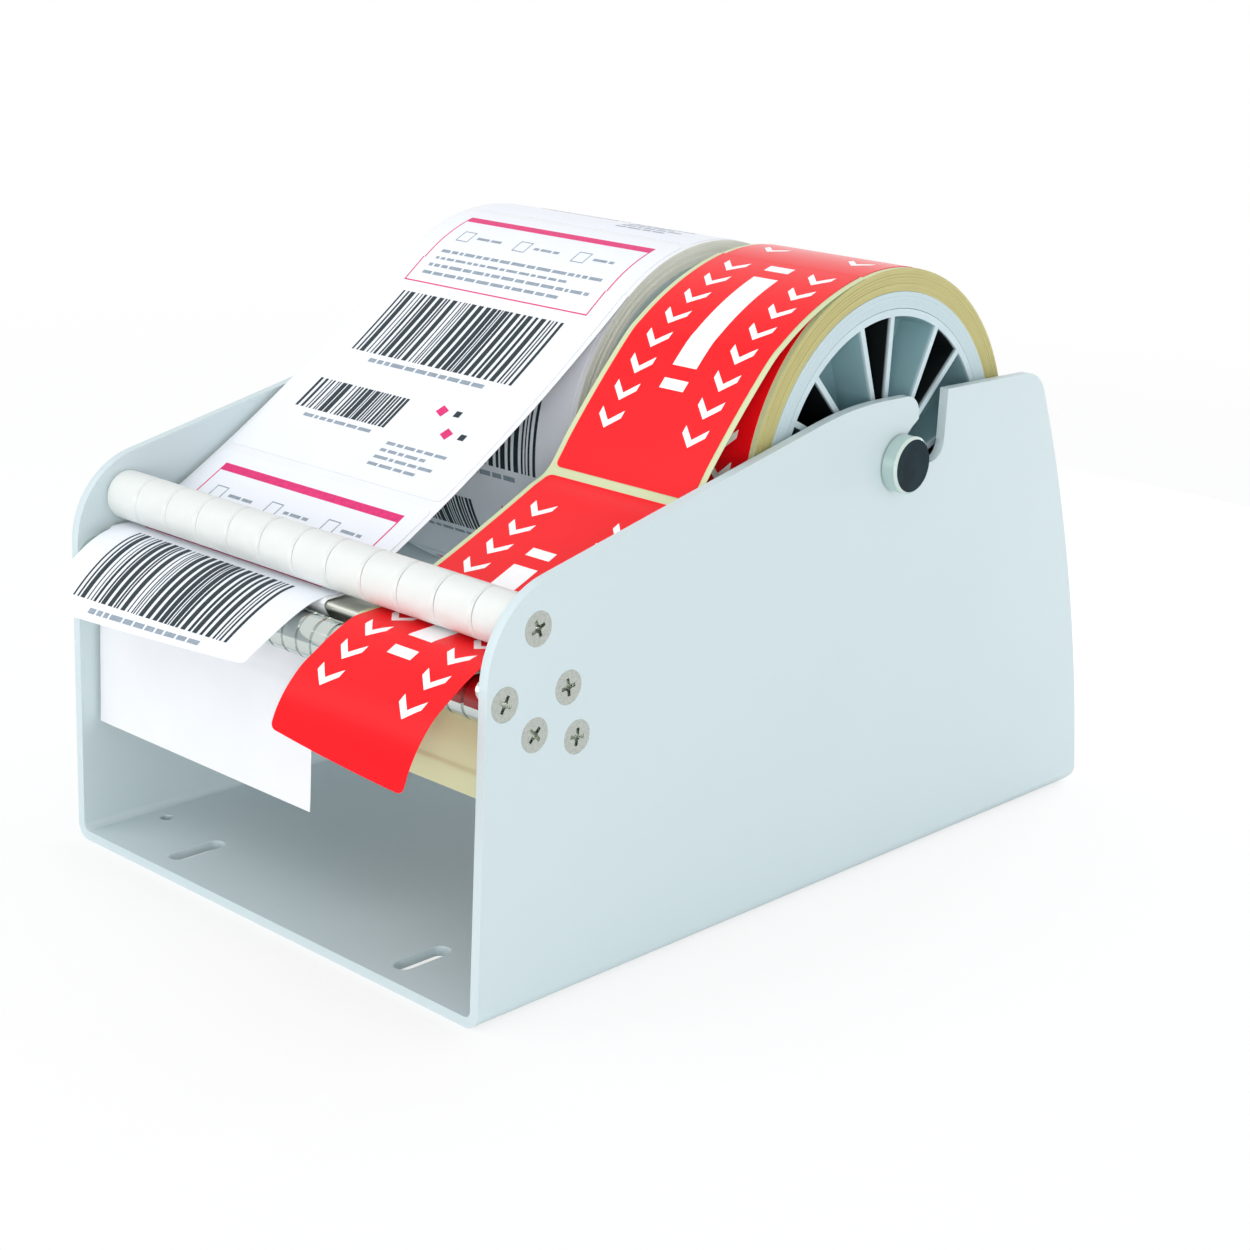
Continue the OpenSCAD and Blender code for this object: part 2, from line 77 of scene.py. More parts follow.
def linear(code):
    """An sRGB hex colour as linear red, green and blue."""
    channels = [int(code[i : i + 2], 16) / 255 for i in (1, 3, 5)]
    return tuple(c / 12.92 if c <= 0.04045 else ((c + 0.055) / 1.055) ** 2.4 for c in channels)


def colour(title, code, description):
    return FloatVectorProperty(
        name=title, description=description, subtype="COLOR", min=0, max=1, default=linear(code)
    )


def number(title, default, description, **limits):
    return FloatProperty(name=title, description=description, default=default, **limits)


def length_mm(title, default, description, low, high):
    return number(title, default, description + ", in millimetres", min=low, max=high)


def add(tree, kind, settings=None, sockets=None):
    """Adds a shader node, with its settings, and its sockets set or linked."""
    node = tree.nodes.new("ShaderNode" + kind)
    for name, value in (settings or {}).items():
        setattr(node, name, value)
    for key, value in (sockets or {}).items():
        if isinstance(value, bpy.types.NodeSocket):
            tree.links.new(value, node.inputs[key])
        else:
            node.inputs[key].default_value = value
    return node


def opaque(rgb):
    return (*rgb, 1.0)


def new_material(name):
    """An empty material, its node tree and its object coordinates, which are metres in the frame."""
    material = bpy.data.materials.new(name)
    material.use_nodes = True
    tree = material.node_tree
    tree.nodes.clear()
    place = add(tree, "TexCoord").outputs["Object"]
    return material, tree, place


# Noise keeps mostly between these two values.
NOISE_LOW, NOISE_HIGH = 0.3, 0.7


def surface(tree, sockets, roughness=None, relief=None):
    """Adds the material's one shader and links it to the output.

    roughness is a noise with the roughness at its low and at its high, and relief is a height
    with its depth in millimetres and its strength.
    """
    if roughness:
        noise, low, high = roughness
        sockets["Roughness"] = add(tree, "MapRange", sockets={
            "Value": noise, "From Min": NOISE_LOW, "From Max": NOISE_HIGH, "To Min": low, "To Max": high,
        }).outputs[0]
    if relief:
        height, depth_mm, strength = relief
        bump = {"Height": height, "Distance": depth_mm * MM, "Strength": strength}
        sockets["Normal"] = add(tree, "Bump", sockets=bump).outputs[0]
    shader = add(tree, "BsdfPrincipled", sockets=sockets)
    add(tree, "OutputMaterial", sockets={"Surface": shader.outputs["BSDF"]})


def grain(tree, place, size_mm, detail, stretch=(1, 1, 1)):
    """Noise whose lumps are about size_mm across, longer along an axis by its stretch."""
    scale = tuple(1 / (size_mm * MM * s) for s in stretch)
    mapped = add(tree, "Mapping", sockets={"Vector": place, "Scale": scale})
    sockets = {"Vector": mapped.outputs["Vector"], "Scale": 1.0, "Detail": detail}
    return add(tree, "TexNoise", sockets=sockets).outputs["Fac"]


def tinted(tree, noise, dark, light):
    """A colour that goes from dark to light as the noise does."""
    spread = add(tree, "MapRange", sockets={"Value": noise, "From Min": NOISE_LOW, "From Max": NOISE_HIGH})
    colours = {0: spread.outputs[0], 6: opaque(dark), 7: opaque(light)}
    return add(tree, "Mix", {"data_type": "RGBA"}, colours).outputs[2]


def shade(rgb, factor):
    return tuple(c * factor for c in rgb)


def round_about(tree, place, centre):
    """Distance from a cross axis through the side-view point centre."""
    moved = add(tree, "VectorMath", {"operation": "SUBTRACT"}, {0: place, 1: (0, *centre)})
    flat = add(tree, "VectorMath", {"operation": "MULTIPLY"}, {0: moved.outputs[0], 1: (0, 1, 1)})
    return add(tree, "VectorMath", {"operation": "LENGTH"}, {0: flat.outputs[0]}).outputs["Value"]


def rings(tree, place, centre, pitch_mm):
    """Noise that changes only with the distance from a cross axis."""
    radius = round_about(tree, place, centre)
    scaled = add(tree, "Math", {"operation": "MULTIPLY"}, {0: radius, 1: 1 / (pitch_mm * MM)})
    sockets = {"W": scaled.outputs[0], "Scale": 1.0, "Detail": 2.0}
    return add(tree, "TexNoise", {"noise_dimensions": "1D"}, sockets).outputs["Fac"]


# ---- what the frame says ---------------------------------------------------------


def middle(node):
    """Side-view centre of a node's box."""
    low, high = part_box(node)
    return np.array([(low.y + high.y) / 2, (low.z + high.z) / 2])


def radius_of(node):
    low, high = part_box(node)
    return (high.z - low.z) / 2


def span(node):
    """Lowest and highest X of a node."""
    low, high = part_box(node)
    return low.x, high.x


def polar(centre, radius, degrees):
    angle = math.radians(degrees)
    return np.array(centre) + radius * np.array([math.cos(angle), math.sin(angle)])


ROLLER_AT = middle("roller_rod")
ROLLER_R = radius_of("guide_roller_1")
ROD_AT = middle("front_rod")
ROD_R = radius_of("front_rod")
SPINDLE_AT = middle("spindle")
ROLL_AT = middle("wide_roll")
PEEL_LOW, PEEL_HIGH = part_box("peel_bar")

# The wheels' box spokes, at the foot and at the rim: distance from the axis, and half the width up
# to a line within each wall. A wall's side towards the gap lies beyond that line. The spokes place
# the painted shade in the openings between them.
SPOKES = 8
FIRST_SPOKE_DEG = 32
SPOKE_FOOT = (11.8 * MM, 4.5 * MM)
SPOKE_RIM = (47.15 * MM, 12.5 * MM)

# Depths under a wheel's face at which its own pale colour begins to show over the painted shade of its
# inside, and at which it is whole.
PAINTED_SHADE_FADE_FROM, PAINTED_SHADE_FADE_TO = 1.2 * MM, 0.3 * MM


# ---- properties ------------------------------------------------------------------


class FinishSettings(bpy.types.PropertyGroup):
    """Colours of the rigid pieces."""

    powder: colour("Powder coat", "#ccdbde", "Pale blue-grey coat of the folded channel")
    roller: colour("Rollers", "#e3e7e4", "Moulded guide rollers")
    wheel: colour("Wheels", "#c9dce1", "Faces of the moulded wheels at the outer ends of the rolls")
    # Painted shade: the wheels' plastic is as pale inside as on its faces; this darker colour stands in for
    # the shade in their recesses.
    wheel_recess_painted_shade: colour("Wheel recesses", "#8fb2b8", "Walls and plates inside those wheels")
    # Painted shade: the openings between the spokes are coloured near-black in place of the shade inside the
    # roll's core.
    wheel_gap_painted_shade: colour("Wheel gaps", "#0c1214", "Deep walls of the openings between the spokes")
    # Painted shade: the two inner wheels are the same pale moulding as the outer ones; this near-black colour
    # stands in for the shade between the rolls.
    wheel_inner_painted_shade: colour("Inner wheels", "#20292c", "The two wheels that face each other between the rolls")
    core: colour("Cores", "#c9dbe0", "Wound board of the cores")
    steel: colour("Drawn steel", "#b9bec1", "Roller rod and spindle")
    chrome: colour("Chrome", "#ccd4d0", "Polished front rod")
    aluminium: colour("Mill aluminium", "#d9dbd2", "Extruded peel bar")
    nickel: colour("Nickel", "#c3c8c0", "Countersunk screws")
    cap_side: colour("Cap side", "#d3e2dc", "Turned side of the spindle caps")
    # Painted reflection: the polished steel face is coloured near-black to stand in for the dark surroundings
    # it mirrors.
    cap_face_painted_reflection: colour("Cap face", "#08242c", "Blackened face of the spindle caps")
    edge_mm: length_mm("Sheet edge", 0.4, "Width of the rounded edge of the coat on cut sheet", 0.0, 1.0)


class PaperSettings(bpy.types.PropertyGroup):
    """Sizes and colours of the webs and the rolls."""

    liner_mm: length_mm("Liner thickness", 0.14, "Thickness of a liner", 0.05, 0.3)
    label_mm: length_mm("Label thickness", 0.16, "Thickness of a label", 0.05, 0.3)
    wide_length_mm: length_mm("Wide label length", 120.0, "Length of the wider labels", 80.0, 200.0)
    narrow_length_mm: length_mm("Narrow label length", 118.0, "Length of the narrower labels", 60.0, 160.0)
    gap_mm: length_mm("Label gap", 3.2, "Gap between two labels on the liner", 1.0, 6.0)
    margin_mm: length_mm("Liner margin", 2.0, "Bare liner beside a label", 0.5, 4.0)
    corner_mm: length_mm("Label corner", 2.0, "Radius of a label's corners", 0.5, 5.0)
    turns: IntProperty(name="Turns", description="Turns drawn on a roll's side", default=15, min=4, max=40)
    white_label: colour("White label", "#f1f4fb", "Face of the wider labels")
    white_liner: colour("White liner", "#eff1f4", "Liner of the wider roll")
    red_label: colour("Red label", "#f50a18", "Face of the narrower labels")
    glassine: colour("Glassine liner", "#d0d8ab", "Liner of the narrower roll")
    white_edges: colour("White roll edges", "#f4f5ec", "Cut edges of the wider roll")
    glassine_edges: colour("Glassine roll edges", "#c8c083", "Cut edges of the narrower roll")
    black_ink: colour("Black ink", "#1d2c32", "Printed bars")
    magenta_ink: colour("Magenta ink", "#d4246e", "Printed bands and lines")
    grey_ink: colour("Grey ink", "#8c98a4", "Printed dashes")
    white_ink: colour("White ink", "#fbfbfd", "Print on the red labels")


class StudioSettings(bpy.types.PropertyGroup):
    """Lamps, floor and camera."""

    floor: colour("Floor", "#fbfbfb", "Pale floor")
    sky: number("Sky", 0.8, "Strength of the even light from all round", min=0, max=2)
    key: number("Key lamp", 6.6, "Strength of the large lamp", min=0, max=100, unit="POWER")
    fill: number("Fill lamp", 6.5, "Strength of the low lamp in front", min=0, max=100, unit="POWER")
    rear: number("Rear lamp", 1.9, "Strength of the low lamp behind", min=0, max=100, unit="POWER")
    lens: number("Lens", 67.2, "Focal length, in millimetres", min=20, max=200)
    azimuth: number("Azimuth", 42.25, "Camera direction round the machine, in degrees")
    elevation: number("Elevation", 17.0, "Camera direction above the bench, in degrees")
    roll: number("Roll", 2.69, "Camera tilt about its own axis, in degrees")
    place: FloatVectorProperty(name="Place", description="Where the camera stands", subtype="TRANSLATION",
                               unit="LENGTH", default=(0.4873, -0.5307, 0.2832))


# ---- finishes --------------------------------------------------------------------


def powder_coated_steel(name, rgb):
    """Polyester powder on folded steel sheet: satin, with a fine orange-peel skin."""
    material, tree, place = new_material(name)
    cloud = grain(tree, place, 45, 3.0)
    peel = grain(tree, place, 1.6, 1.0)
    skin = {"Base Color": tinted(tree, cloud, shade(rgb, 0.985), rgb)}
    surface(tree, skin, roughness=(cloud, 0.40, 0.48), relief=(peel, 0.02, 0.35))
    return material


def drawn_steel(name, rgb):
    """Bright drawn bar: lines along the bar, drawn coarse to show, and a soft metal gloss."""
    material, tree, place = new_material(name)
    lines = grain(tree, place, 0.35, 3.0, (60, 1, 1))
    bar = {"Base Color": tinted(tree, lines, shade(rgb, 0.9), rgb), "Metallic": 1.0}
    surface(tree, bar, roughness=(lines, 0.24, 0.34), relief=(lines, 0.01, 0.4))
    return material


def chromed_steel(name, rgb):
    """Ground bar with bright chrome: a mirror, a little clouded by handling."""
    material, tree, place = new_material(name)
    cloud = grain(tree, place, 9, 2.0, (2, 1, 1))
    surface(tree, {"Base Color": opaque(rgb), "Metallic": 1.0}, roughness=(cloud, 0.045, 0.085))
    return material


def turned_cap(name, side, face, centre, face_x):
    """Turned steel cap: a bright side, and beyond face_x a dark, mottled face painted as a reflection of dark
    surroundings.

    The grooves of the turning tool are drawn coarse to show.
    """
    material, tree, place = new_material(name)
    groove = rings(tree, place, centre, 0.5)
    x = add(tree, "SeparateXYZ", sockets={0: place}).outputs["X"]
    out = add(tree, "Math", {"operation": "ABSOLUTE"}, {0: x}).outputs[0]
    is_face = add(tree, "Math", {"operation": "GREATER_THAN"}, {0: out, 1: face_x}).outputs[0]
    is_side = add(tree, "Math", {"operation": "SUBTRACT"}, {0: 1.0, 1: is_face}).outputs[0]
    # Painted reflection: the face's dark, mottled colour stands in for what the polished face mirrors.
    painted_reflection_mottle = tinted(tree, grain(tree, place, 6.0, 1.0), shade(face, 0.7), shade(face, 1.3))
    both = add(tree, "Mix", {"data_type": "RGBA"}, {0: is_face, 6: opaque(side), 7: painted_reflection_mottle}).outputs[2]
    cap = {"Base Color": both, "Metallic": is_side, "Specular IOR Level": 0.15}
    surface(tree, cap, roughness=(groove, 0.12, 0.2), relief=(groove, 0.004, 0.2))
    return material


def extruded_aluminium(name, rgb):
    """Mill-finish extrusion: pale, with long die lines, drawn coarse to show."""
    material, tree, place = new_material(name)
    lines = grain(tree, place, 0.6, 3.0, (120, 1, 1))
    bar = {"Base Color": tinted(tree, lines, shade(rgb, 0.88), rgb), "Metallic": 0.85}
    surface(tree, bar, roughness=(lines, 0.34, 0.46), relief=(lines, 0.015, 0.5))
    return material


def nickelled_screw(name, rgb):
    """Nickel-plated steel screw: bright, a little uneven."""
    material, tree, place = new_material(name)
    uneven = grain(tree, place, 0.9, 3.0)
    plating = {"Base Color": tinted(tree, uneven, shade(rgb, 0.8), rgb), "Metallic": 1.0}
    surface(tree, plating, roughness=(uneven, 0.2, 0.34), relief=(uneven, 0.02, 0.4))
    return material


def moulded_acetal(name, rgb):
    """Moulded acetal roller: waxy white, with a faint skin from the mould, drawn coarse to show."""
    material, tree, place = new_material(name)
    cloud = grain(tree, place, 5, 2.0)
    skin = grain(tree, place, 0.5, 1.0, (1, 6, 6))
    waxy = {
        "Base Color": tinted(tree, cloud, shade(rgb, 0.97), rgb),
        "Subsurface Weight": 0.12,
        "Subsurface Radius": (1.0, 0.95, 0.9),
        "Subsurface Scale": 1.2 * MM,
    }
    surface(tree, waxy, roughness=(cloud, 0.32, 0.4), relief=(skin, 0.01, 0.35))
    return material


def painted_shade_sectors(tree, place, centre):
    """1 between the box spokes of a wheel, where near-black shade is painted, 0 within them: each spoke
    widens from its foot to the rim.
    """
    moved = add(tree, "VectorMath", {"operation": "SUBTRACT"}, {0: place, 1: (0, *centre)}).outputs[0]
    parts = add(tree, "SeparateXYZ", sockets={0: moved}).outputs
    angle = add(tree, "Math", {"operation": "ARCTAN2"}, {0: parts["Z"], 1: parts["Y"]}).outputs[0]
    pitch = 2 * math.pi / SPOKES
    first = math.radians(FIRST_SPOKE_DEG) - pitch / 2
    turned = add(tree, "Math", {"operation": "SUBTRACT"}, {0: angle, 1: first}).outputs[0]
    within = add(tree, "Math", {"operation": "WRAP"}, {0: turned, 1: pitch, 2: 0.0}).outputs[0]
    from_spoke = add(tree, "Math", {"operation": "SUBTRACT"}, {0: within, 1: pitch / 2}).outputs[0]
    radius = round_about(tree, place, centre)
    cosine = add(tree, "Math", {"operation": "COSINE"}, {0: from_spoke}).outputs[0]
    along = add(tree, "Math", {"operation": "MULTIPLY"}, {0: cosine, 1: radius}).outputs[0]
    sine = add(tree, "Math", {"operation": "SINE"}, {0: from_spoke}).outputs[0]
    aside = add(tree, "Math", {"operation": "MULTIPLY"}, {0: sine, 1: radius}).outputs[0]
    across = add(tree, "Math", {"operation": "ABSOLUTE"}, {0: aside}).outputs[0]
    (foot, foot_half), (rim, rim_half) = SPOKE_FOOT, SPOKE_RIM
    half = add(tree, "MapRange", {"clamp": False}, {
        "Value": along, "From Min": foot, "From Max": rim, "To Min": foot_half, "To Max": rim_half,
    }).outputs[0]
    return add(tree, "Math", {"operation": "GREATER_THAN"}, {0: across, 1: half}).outputs[0]


def moulded_abs(name, face, recess_painted_shade, gap, faces_x, centre):
    """Injection-moulded ABS: satin, its own pale colour on the faces at faces_x, with painted shade deeper
    in: a darker colour on the walls and plates, near-black in the openings between the spokes.

    The fine grain of the spark-eroded mould is drawn coarse to show.
    """
    material, tree, place = new_material(name)
    cloud = grain(tree, place, 12, 2.0)
    spark = grain(tree, place, 0.45, 2.0)
    x = add(tree, "SeparateXYZ", sockets={0: place}).outputs["X"]
    low, high = faces_x
    offset = add(tree, "Math", {"operation": "SUBTRACT"}, {0: x, 1: (low + high) / 2}).outputs[0]
    out = add(tree, "Math", {"operation": "ABSOLUTE"}, {0: offset}).outputs[0]
    reach = (high - low) / 2
    # Painted shade: the face's own colour fades into the darker painted inside just under the face.
    painted_shade_fade = {"Value": out, "From Min": reach - PAINTED_SHADE_FADE_FROM, "From Max": reach - PAINTED_SHADE_FADE_TO}
    on_face = add(tree, "MapRange", sockets=painted_shade_fade).outputs[0]
    # Painted shade: walls and plates take the darker recess colour, and the openings between the spokes a
    # near-black one.
    walls = {0: painted_shade_sectors(tree, place, centre), 6: opaque(recess_painted_shade), 7: opaque(gap)}
    inside = add(tree, "Mix", {"data_type": "RGBA"}, walls).outputs[2]
    both = add(tree, "Mix", {"data_type": "RGBA"}, {0: on_face, 6: inside, 7: opaque(face)}).outputs[2]
    dust = tinted(tree, cloud, (0.93, 0.93, 0.93), (1, 1, 1))
    multiply = {"data_type": "RGBA", "blend_type": "MULTIPLY"}
    speckled = add(tree, "Mix", multiply, {0: 1.0, 6: both, 7: dust}).outputs[2]
    surface(tree, {"Base Color": speckled}, roughness=(spark, 0.42, 0.55), relief=(spark, 0.02, 0.4))
    return material


def wound_board(name, rgb, centre):
    """Spirally wound board: matt, plies seen as rings on the cut ends, drawn coarse to show."""
    material, tree, place = new_material(name)
    ply = rings(tree, place, centre, 0.6)
    fibre = grain(tree, place, 0.8, 3.0)
    fine = add(tree, "Math", {"operation": "MULTIPLY"}, {0: fibre, 1: 0.4}).outputs[0]
    both = add(tree, "Math", {"operation": "MULTIPLY_ADD"}, {0: ply, 1: 0.6, 2: fine}).outputs[0]
    board = {
        "Base Color": tinted(tree, both, shade(rgb, 0.9), rgb),
        "Roughness": 0.8,
        "Specular IOR Level": 0.25,
    }
    surface(tree, board, relief=(both, 0.06, 0.6))
    return material


def wound_edges(name, rgb, centre):
    """Slit edges of wound paper: fine rings, drawn coarse to show, and faint smears."""
    material, tree, place = new_material(name)
    turn = rings(tree, place, centre, 0.3)
    smear = grain(tree, place, 14, 2.0)
    faint = add(tree, "Math", {"operation": "MULTIPLY"}, {0: smear, 1: 0.35}).outputs[0]
    both = add(tree, "Math", {"operation": "MULTIPLY_ADD"}, {0: turn, 1: 0.65, 2: faint}).outputs[0]
    edges = {
        "Base Color": tinted(tree, both, shade(rgb, 0.85), rgb),
        "Roughness": 0.62,
        "Specular IOR Level": 0.35,
    }
    surface(tree, edges, relief=(turn, 0.08, 0.7))
    return material


def coated_paper(name, rgb, roughness, gloss, specular=0.5):
    """Clay-coated label face or siliconed liner: smooth, with a faint tooth, drawn coarse to show."""
    material, tree, place = new_material(name)
    cloud = grain(tree, place, 18, 3.0)
    tooth = grain(tree, place, 0.5, 2.0)
    coat = {
        "Base Color": tinted(tree, cloud, shade(rgb, 0.975), rgb),
        "Specular IOR Level": specular,
        "Coat Weight": gloss,
        "Coat Roughness": 0.25,
        "Coat IOR": 1.25,
    }
    surface(tree, coat, roughness=(tooth, roughness * 0.92, roughness * 1.08), relief=(tooth, 0.008, 0.35))
    return material


def printed_ink(name, rgb):
    """Thermal or flexo ink on the coat: a flat film, slightly patchy."""
    material, tree, place = new_material(name)
    patch = grain(tree, place, 1.4, 3.0)
    thin = tuple(min(1.0, c * 1.25 + 0.01) for c in rgb)
    film = {"Base Color": tinted(tree, patch, rgb, thin), "Specular IOR Level": 0.2}
    surface(tree, film, roughness=(patch, 0.34, 0.44))
    return material


def dress(node, material):
    """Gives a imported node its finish."""
    slots = NODES[node].data.materials
    slots.clear()
    slots.append(material)


def soften_edges(node, width_mm):
    """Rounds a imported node's sharp edges as its coat does."""
    piece = NODES[node]
    weld = piece.modifiers.new("weld", "WELD")
    weld.merge_threshold = 0.002 * MM
    bevel = piece.modifiers.new("edges", "BEVEL")
    bevel.width = width_mm * MM
    bevel.segments = 2
    bevel.limit_method = "ANGLE"
    bevel.angle_limit = math.radians(50)
    bevel.harden_normals = True


# ---- paper -----------------------------------------------------------------------

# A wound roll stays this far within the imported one, and its turns stand back this far at its sides.
ROLL_SKIN = 0.05 * MM
TURN_STEP = 0.28 * MM

# Steps of a sheet's mesh, along the web and across it.
ROW_STEP = 0.8 * MM
LINER_COLUMN = 10 * MM
LABEL_COLUMN = 8 * MM
SHARP_OVER_DEG = 35


class Web:
    """A sheet's route in the side view: dense points, their distances and their normals."""

    STEP = 0.5 * MM

    def __init__(self, points):
        points = np.array(points)
        lengths = np.concatenate([[0], np.cumsum(np.linalg.norm(np.diff(points, axis=0), axis=1))])
        self.length = lengths[-1]
        self.s = np.linspace(0, self.length, int(self.length / self.STEP) + 2)
        self.p = np.stack([np.interp(self.s, lengths, points[:, k]) for k in (0, 1)], axis=1)
        forward = np.gradient(self.p, self.s, axis=0)
        forward /= np.linalg.norm(forward, axis=1)[:, None]
        self.n = np.stack([forward[:, 1], -forward[:, 0]], axis=1)

    def at(self, s, lift):
        """Point at distance s, lifted off the route towards the printed side."""
        return [
            np.interp(s, self.s, self.p[:, k]) + lift * np.interp(s, self.s, self.n[:, k])
            for k in (0, 1)
        ]


def smooth_route(points):
    """Catmull-Rom curve through side-view points."""
    steps = 12
    p = [2 * points[0] - points[1], *points, 2 * points[-1] - points[-2]]
    made = []
    for a, b, c, d in zip(p, p[1:], p[2:], p[3:]):
        for t in np.arange(steps) / steps:
            bend, twist = 2 * a - 5 * b + 4 * c - d, 3 * b - a - 3 * c + d
            made.append(0.5 * (2 * b + (c - a) * t + bend * t**2 + twist * t**3))
    made.append(points[-1])
    return made


def sagging(a, b, drop, count=14):
    """Points of a stretch that sags below its chord by drop at the middle."""
    return [a + (b - a) * t - np.array([0, 4 * drop * t * (1 - t)]) for t in np.linspace(0, 1, count)]


def slab_faces(rows, columns, start=0):
    """Faces of a closed slab: rows x columns corners of its face, then as many of its back."""
    back = start + rows * columns
    faces = []
    for i in range(rows - 1):
        for j in range(columns - 1):
            a = i * columns + j
            quad = (a, a + 1, a + columns + 1, a + columns)
            faces.append(tuple(start + k for k in quad))
            faces.append(tuple(back + k for k in quad[::-1]))
    last = (rows - 1) * columns
    border = list(range(columns)) + [i * columns + columns - 1 for i in range(1, rows)]
    border += [last + j for j in range(columns - 2, -1, -1)] + [i * columns for i in range(rows - 2, 0, -1)]
    for a, b in zip(border, border[1:] + border[:1]):
        faces.append((start + b, start + a, back + a, back + b))
    return faces


def solid_sheet(name, rows, columns, place, materials):
    """A closed thin solid over a grid of (s, x), with place(s, x, side) giving each corner, side 0 or 1."""
    corners = [place(s, x, side) for side in (1, 0) for s in rows for x in columns]
    return made_piece(name, corners, slab_faces(len(rows), len(columns)), materials)


def made_piece(name, corners, faces, materials, kinds=None):
    """An object of these corners and faces; kinds gives each face's material."""
    mesh = bpy.data.meshes.new(name)
    mesh.from_pydata(corners, [], faces)
    mesh.update()
    piece = bpy.data.objects.new(name, mesh)
    bpy.context.scene.collection.objects.link(piece)
    for material in materials:
        mesh.materials.append(material)
    for face in mesh.polygons:
        face.use_smooth = True
    mesh.set_sharp_from_angle(angle=math.radians(SHARP_OVER_DEG))
    if kinds:
        mesh.polygons.foreach_set("material_index", kinds)
    return piece


def evenly(low, high, step):
    return list(np.linspace(low, high, max(2, int(math.ceil((high - low) / step)) + 1)))


def steps_of(run_mm, width_mm):
    """How finely a side of a mark is divided, to follow the bend of its label."""
    return max(1, math.ceil(run_mm / (ROW_STEP / MM)), math.ceil(width_mm / (LINER_COLUMN / MM)))


def print_marks(name, marks, place, inks):
    """Ink on a label: each mark is four (x, t) corners in millimetres and the name of its ink."""
    corners, faces, kinds = [], [], []
    order = sorted({ink for _, ink in marks})
    for quad, ink in marks:
        q = [np.array(c, float) for c in quad]
        across = steps_of(max(abs(q[1][1] - q[0][1]), abs(q[2][1] - q[3][1])), abs(q[1][0] - q[0][0]))
        along = steps_of(max(abs(q[3][1] - q[0][1]), abs(q[2][1] - q[1][1])), 0)
        start = len(corners)
        for side in (1, 0):
            for i in range(along + 1):
                for j in range(across + 1):
                    u, v = j / across, i / along
                    x, t = (q[0] * (1 - u) + q[1] * u) * (1 - v) + (q[3] * (1 - u) + q[2] * u) * v
                    corners.append(place(t * MM, x * MM, side))
        made = slab_faces(along + 1, across + 1, start)
        faces += made
        kinds += [order.index(ink)] * len(made)
    return made_piece(name, corners, faces, [inks[ink] for ink in order], kinds)


# ---- print -----------------------------------------------------------------------
# A label is drawn in millimetres: x from its left edge, t from its trailing edge
# towards the front of the machine.


def rectangle(x0, x1, t0, t1, ink):
    return ([(x0, t0), (x1, t0), (x1, t1), (x0, t1)], ink)


def outline(x0, x1, t0, t1, width, ink):
    return [
        rectangle(x0, x1, t0, t0 + width, ink),
        rectangle(x0, x1, t1 - width, t1, ink),
        rectangle(x0, x0 + width, t0 + width, t1 - width, ink),
        rectangle(x1 - width, x1, t0 + width, t1 - width, ink),
    ]


def bars(x0, x1, t0, t1, seed):
    """A block of upright bars of chance widths."""
    draw = random.Random(seed)
    made, x = [], x0
    while x < x1 - 2.2:
        width = draw.choice((0.5, 0.8, 1.2, 2.0))
        made.append(rectangle(x, x + width, t0, t1, "black"))
        x += width + draw.choice((0.5, 0.8, 1.3))
    return made


def dashes(x0, x1, t, height, seed):
    """A row of dashes of chance lengths."""
    draw = random.Random(seed)
    made, x = [], x0
    while x < x1 - 1.5:
        width = min(draw.uniform(1.4, 6.0), x1 - x)
        made.append(rectangle(x, x + width, t, t + height, "grey"))
        x += width + 0.9
    return made


def white_label_print():
    marks = [rectangle(7, 89, 5.0, 7.6, "magenta")]
    marks += outline(7, 89, 7.6, 40.0, 0.5, "magenta")
    for k, x in enumerate((13, 39, 65)):
        marks += outline(x, x + 5.5, 14.0, 19.5, 0.4, "grey")
        marks += dashes(x + 8, x + 19, 16.2, 1.2, 20 + k)
    for k in range(4):
        marks += dashes(12, 84 - 11 * (k % 2), 24.5 + 3.4 * k, 1.3, 30 + k)
    marks += bars(11, 86, 44.5, 72.0, 3)
    marks += dashes(22, 76, 74.0, 1.6, 41)
    marks += bars(10, 54, 86.0, 99.0, 5)
    marks += dashes(17, 50, 101.0, 1.3, 42)
    for x, t in ((66, 85), (75, 93)):
        marks.append(([(x, t), (x + 3.4, t + 1.6), (x + 2.2, t + 4.6), (x - 1.2, t + 3)], "magenta"))
        marks.append(rectangle(x + 6.5, x + 9.0, t + 1, t + 3.4, "black"))
    for k in range(4):
        marks += dashes(58, 84 - 5 * (k % 2), 103.5 + 3.0 * k, 1.2, 50 + k)
    return marks


def chevron(x, t, width, depth, stroke, ink):
    """An arrow head that points to the front, made of two slanted arms."""
    tip, far = x + width / 2, x + width
    return [
        ([(x, t), (tip, t + depth), (tip, t + depth + stroke), (x, t + stroke)], ink),
        ([(tip, t + depth), (far, t), (far, t + stroke), (tip, t + depth + stroke)], ink),
    ]


def red_label_print():
    marks = []
    for x in (6.0, 38.0):
        for k in range(10):
            marks += chevron(x, 12 + 9.4 * k, 8.5, 4.0, 2.6, "white")
    marks.append(rectangle(21.5, 30.5, 30, 33.5, "white"))
    marks.append(rectangle(21.5, 30.5, 38, 79, "white"))
    marks.append(rectangle(21.5, 30.5, 83.5, 87, "white"))
    return marks


# ---- how one web is put together -------------------------------------------------


# Lifts off a route: a liner's middle, a label's underside on it, and one on the roll.
LINER_LIFT = 0.2 * MM
LABEL_LIFT = 0.32 * MM
TURN_LIFT = 0.02 * MM


def ink_lifts(label_top):
    """Lifts of the two faces of the ink on a label."""
    return label_top + 0.02 * MM, label_top + 0.045 * MM


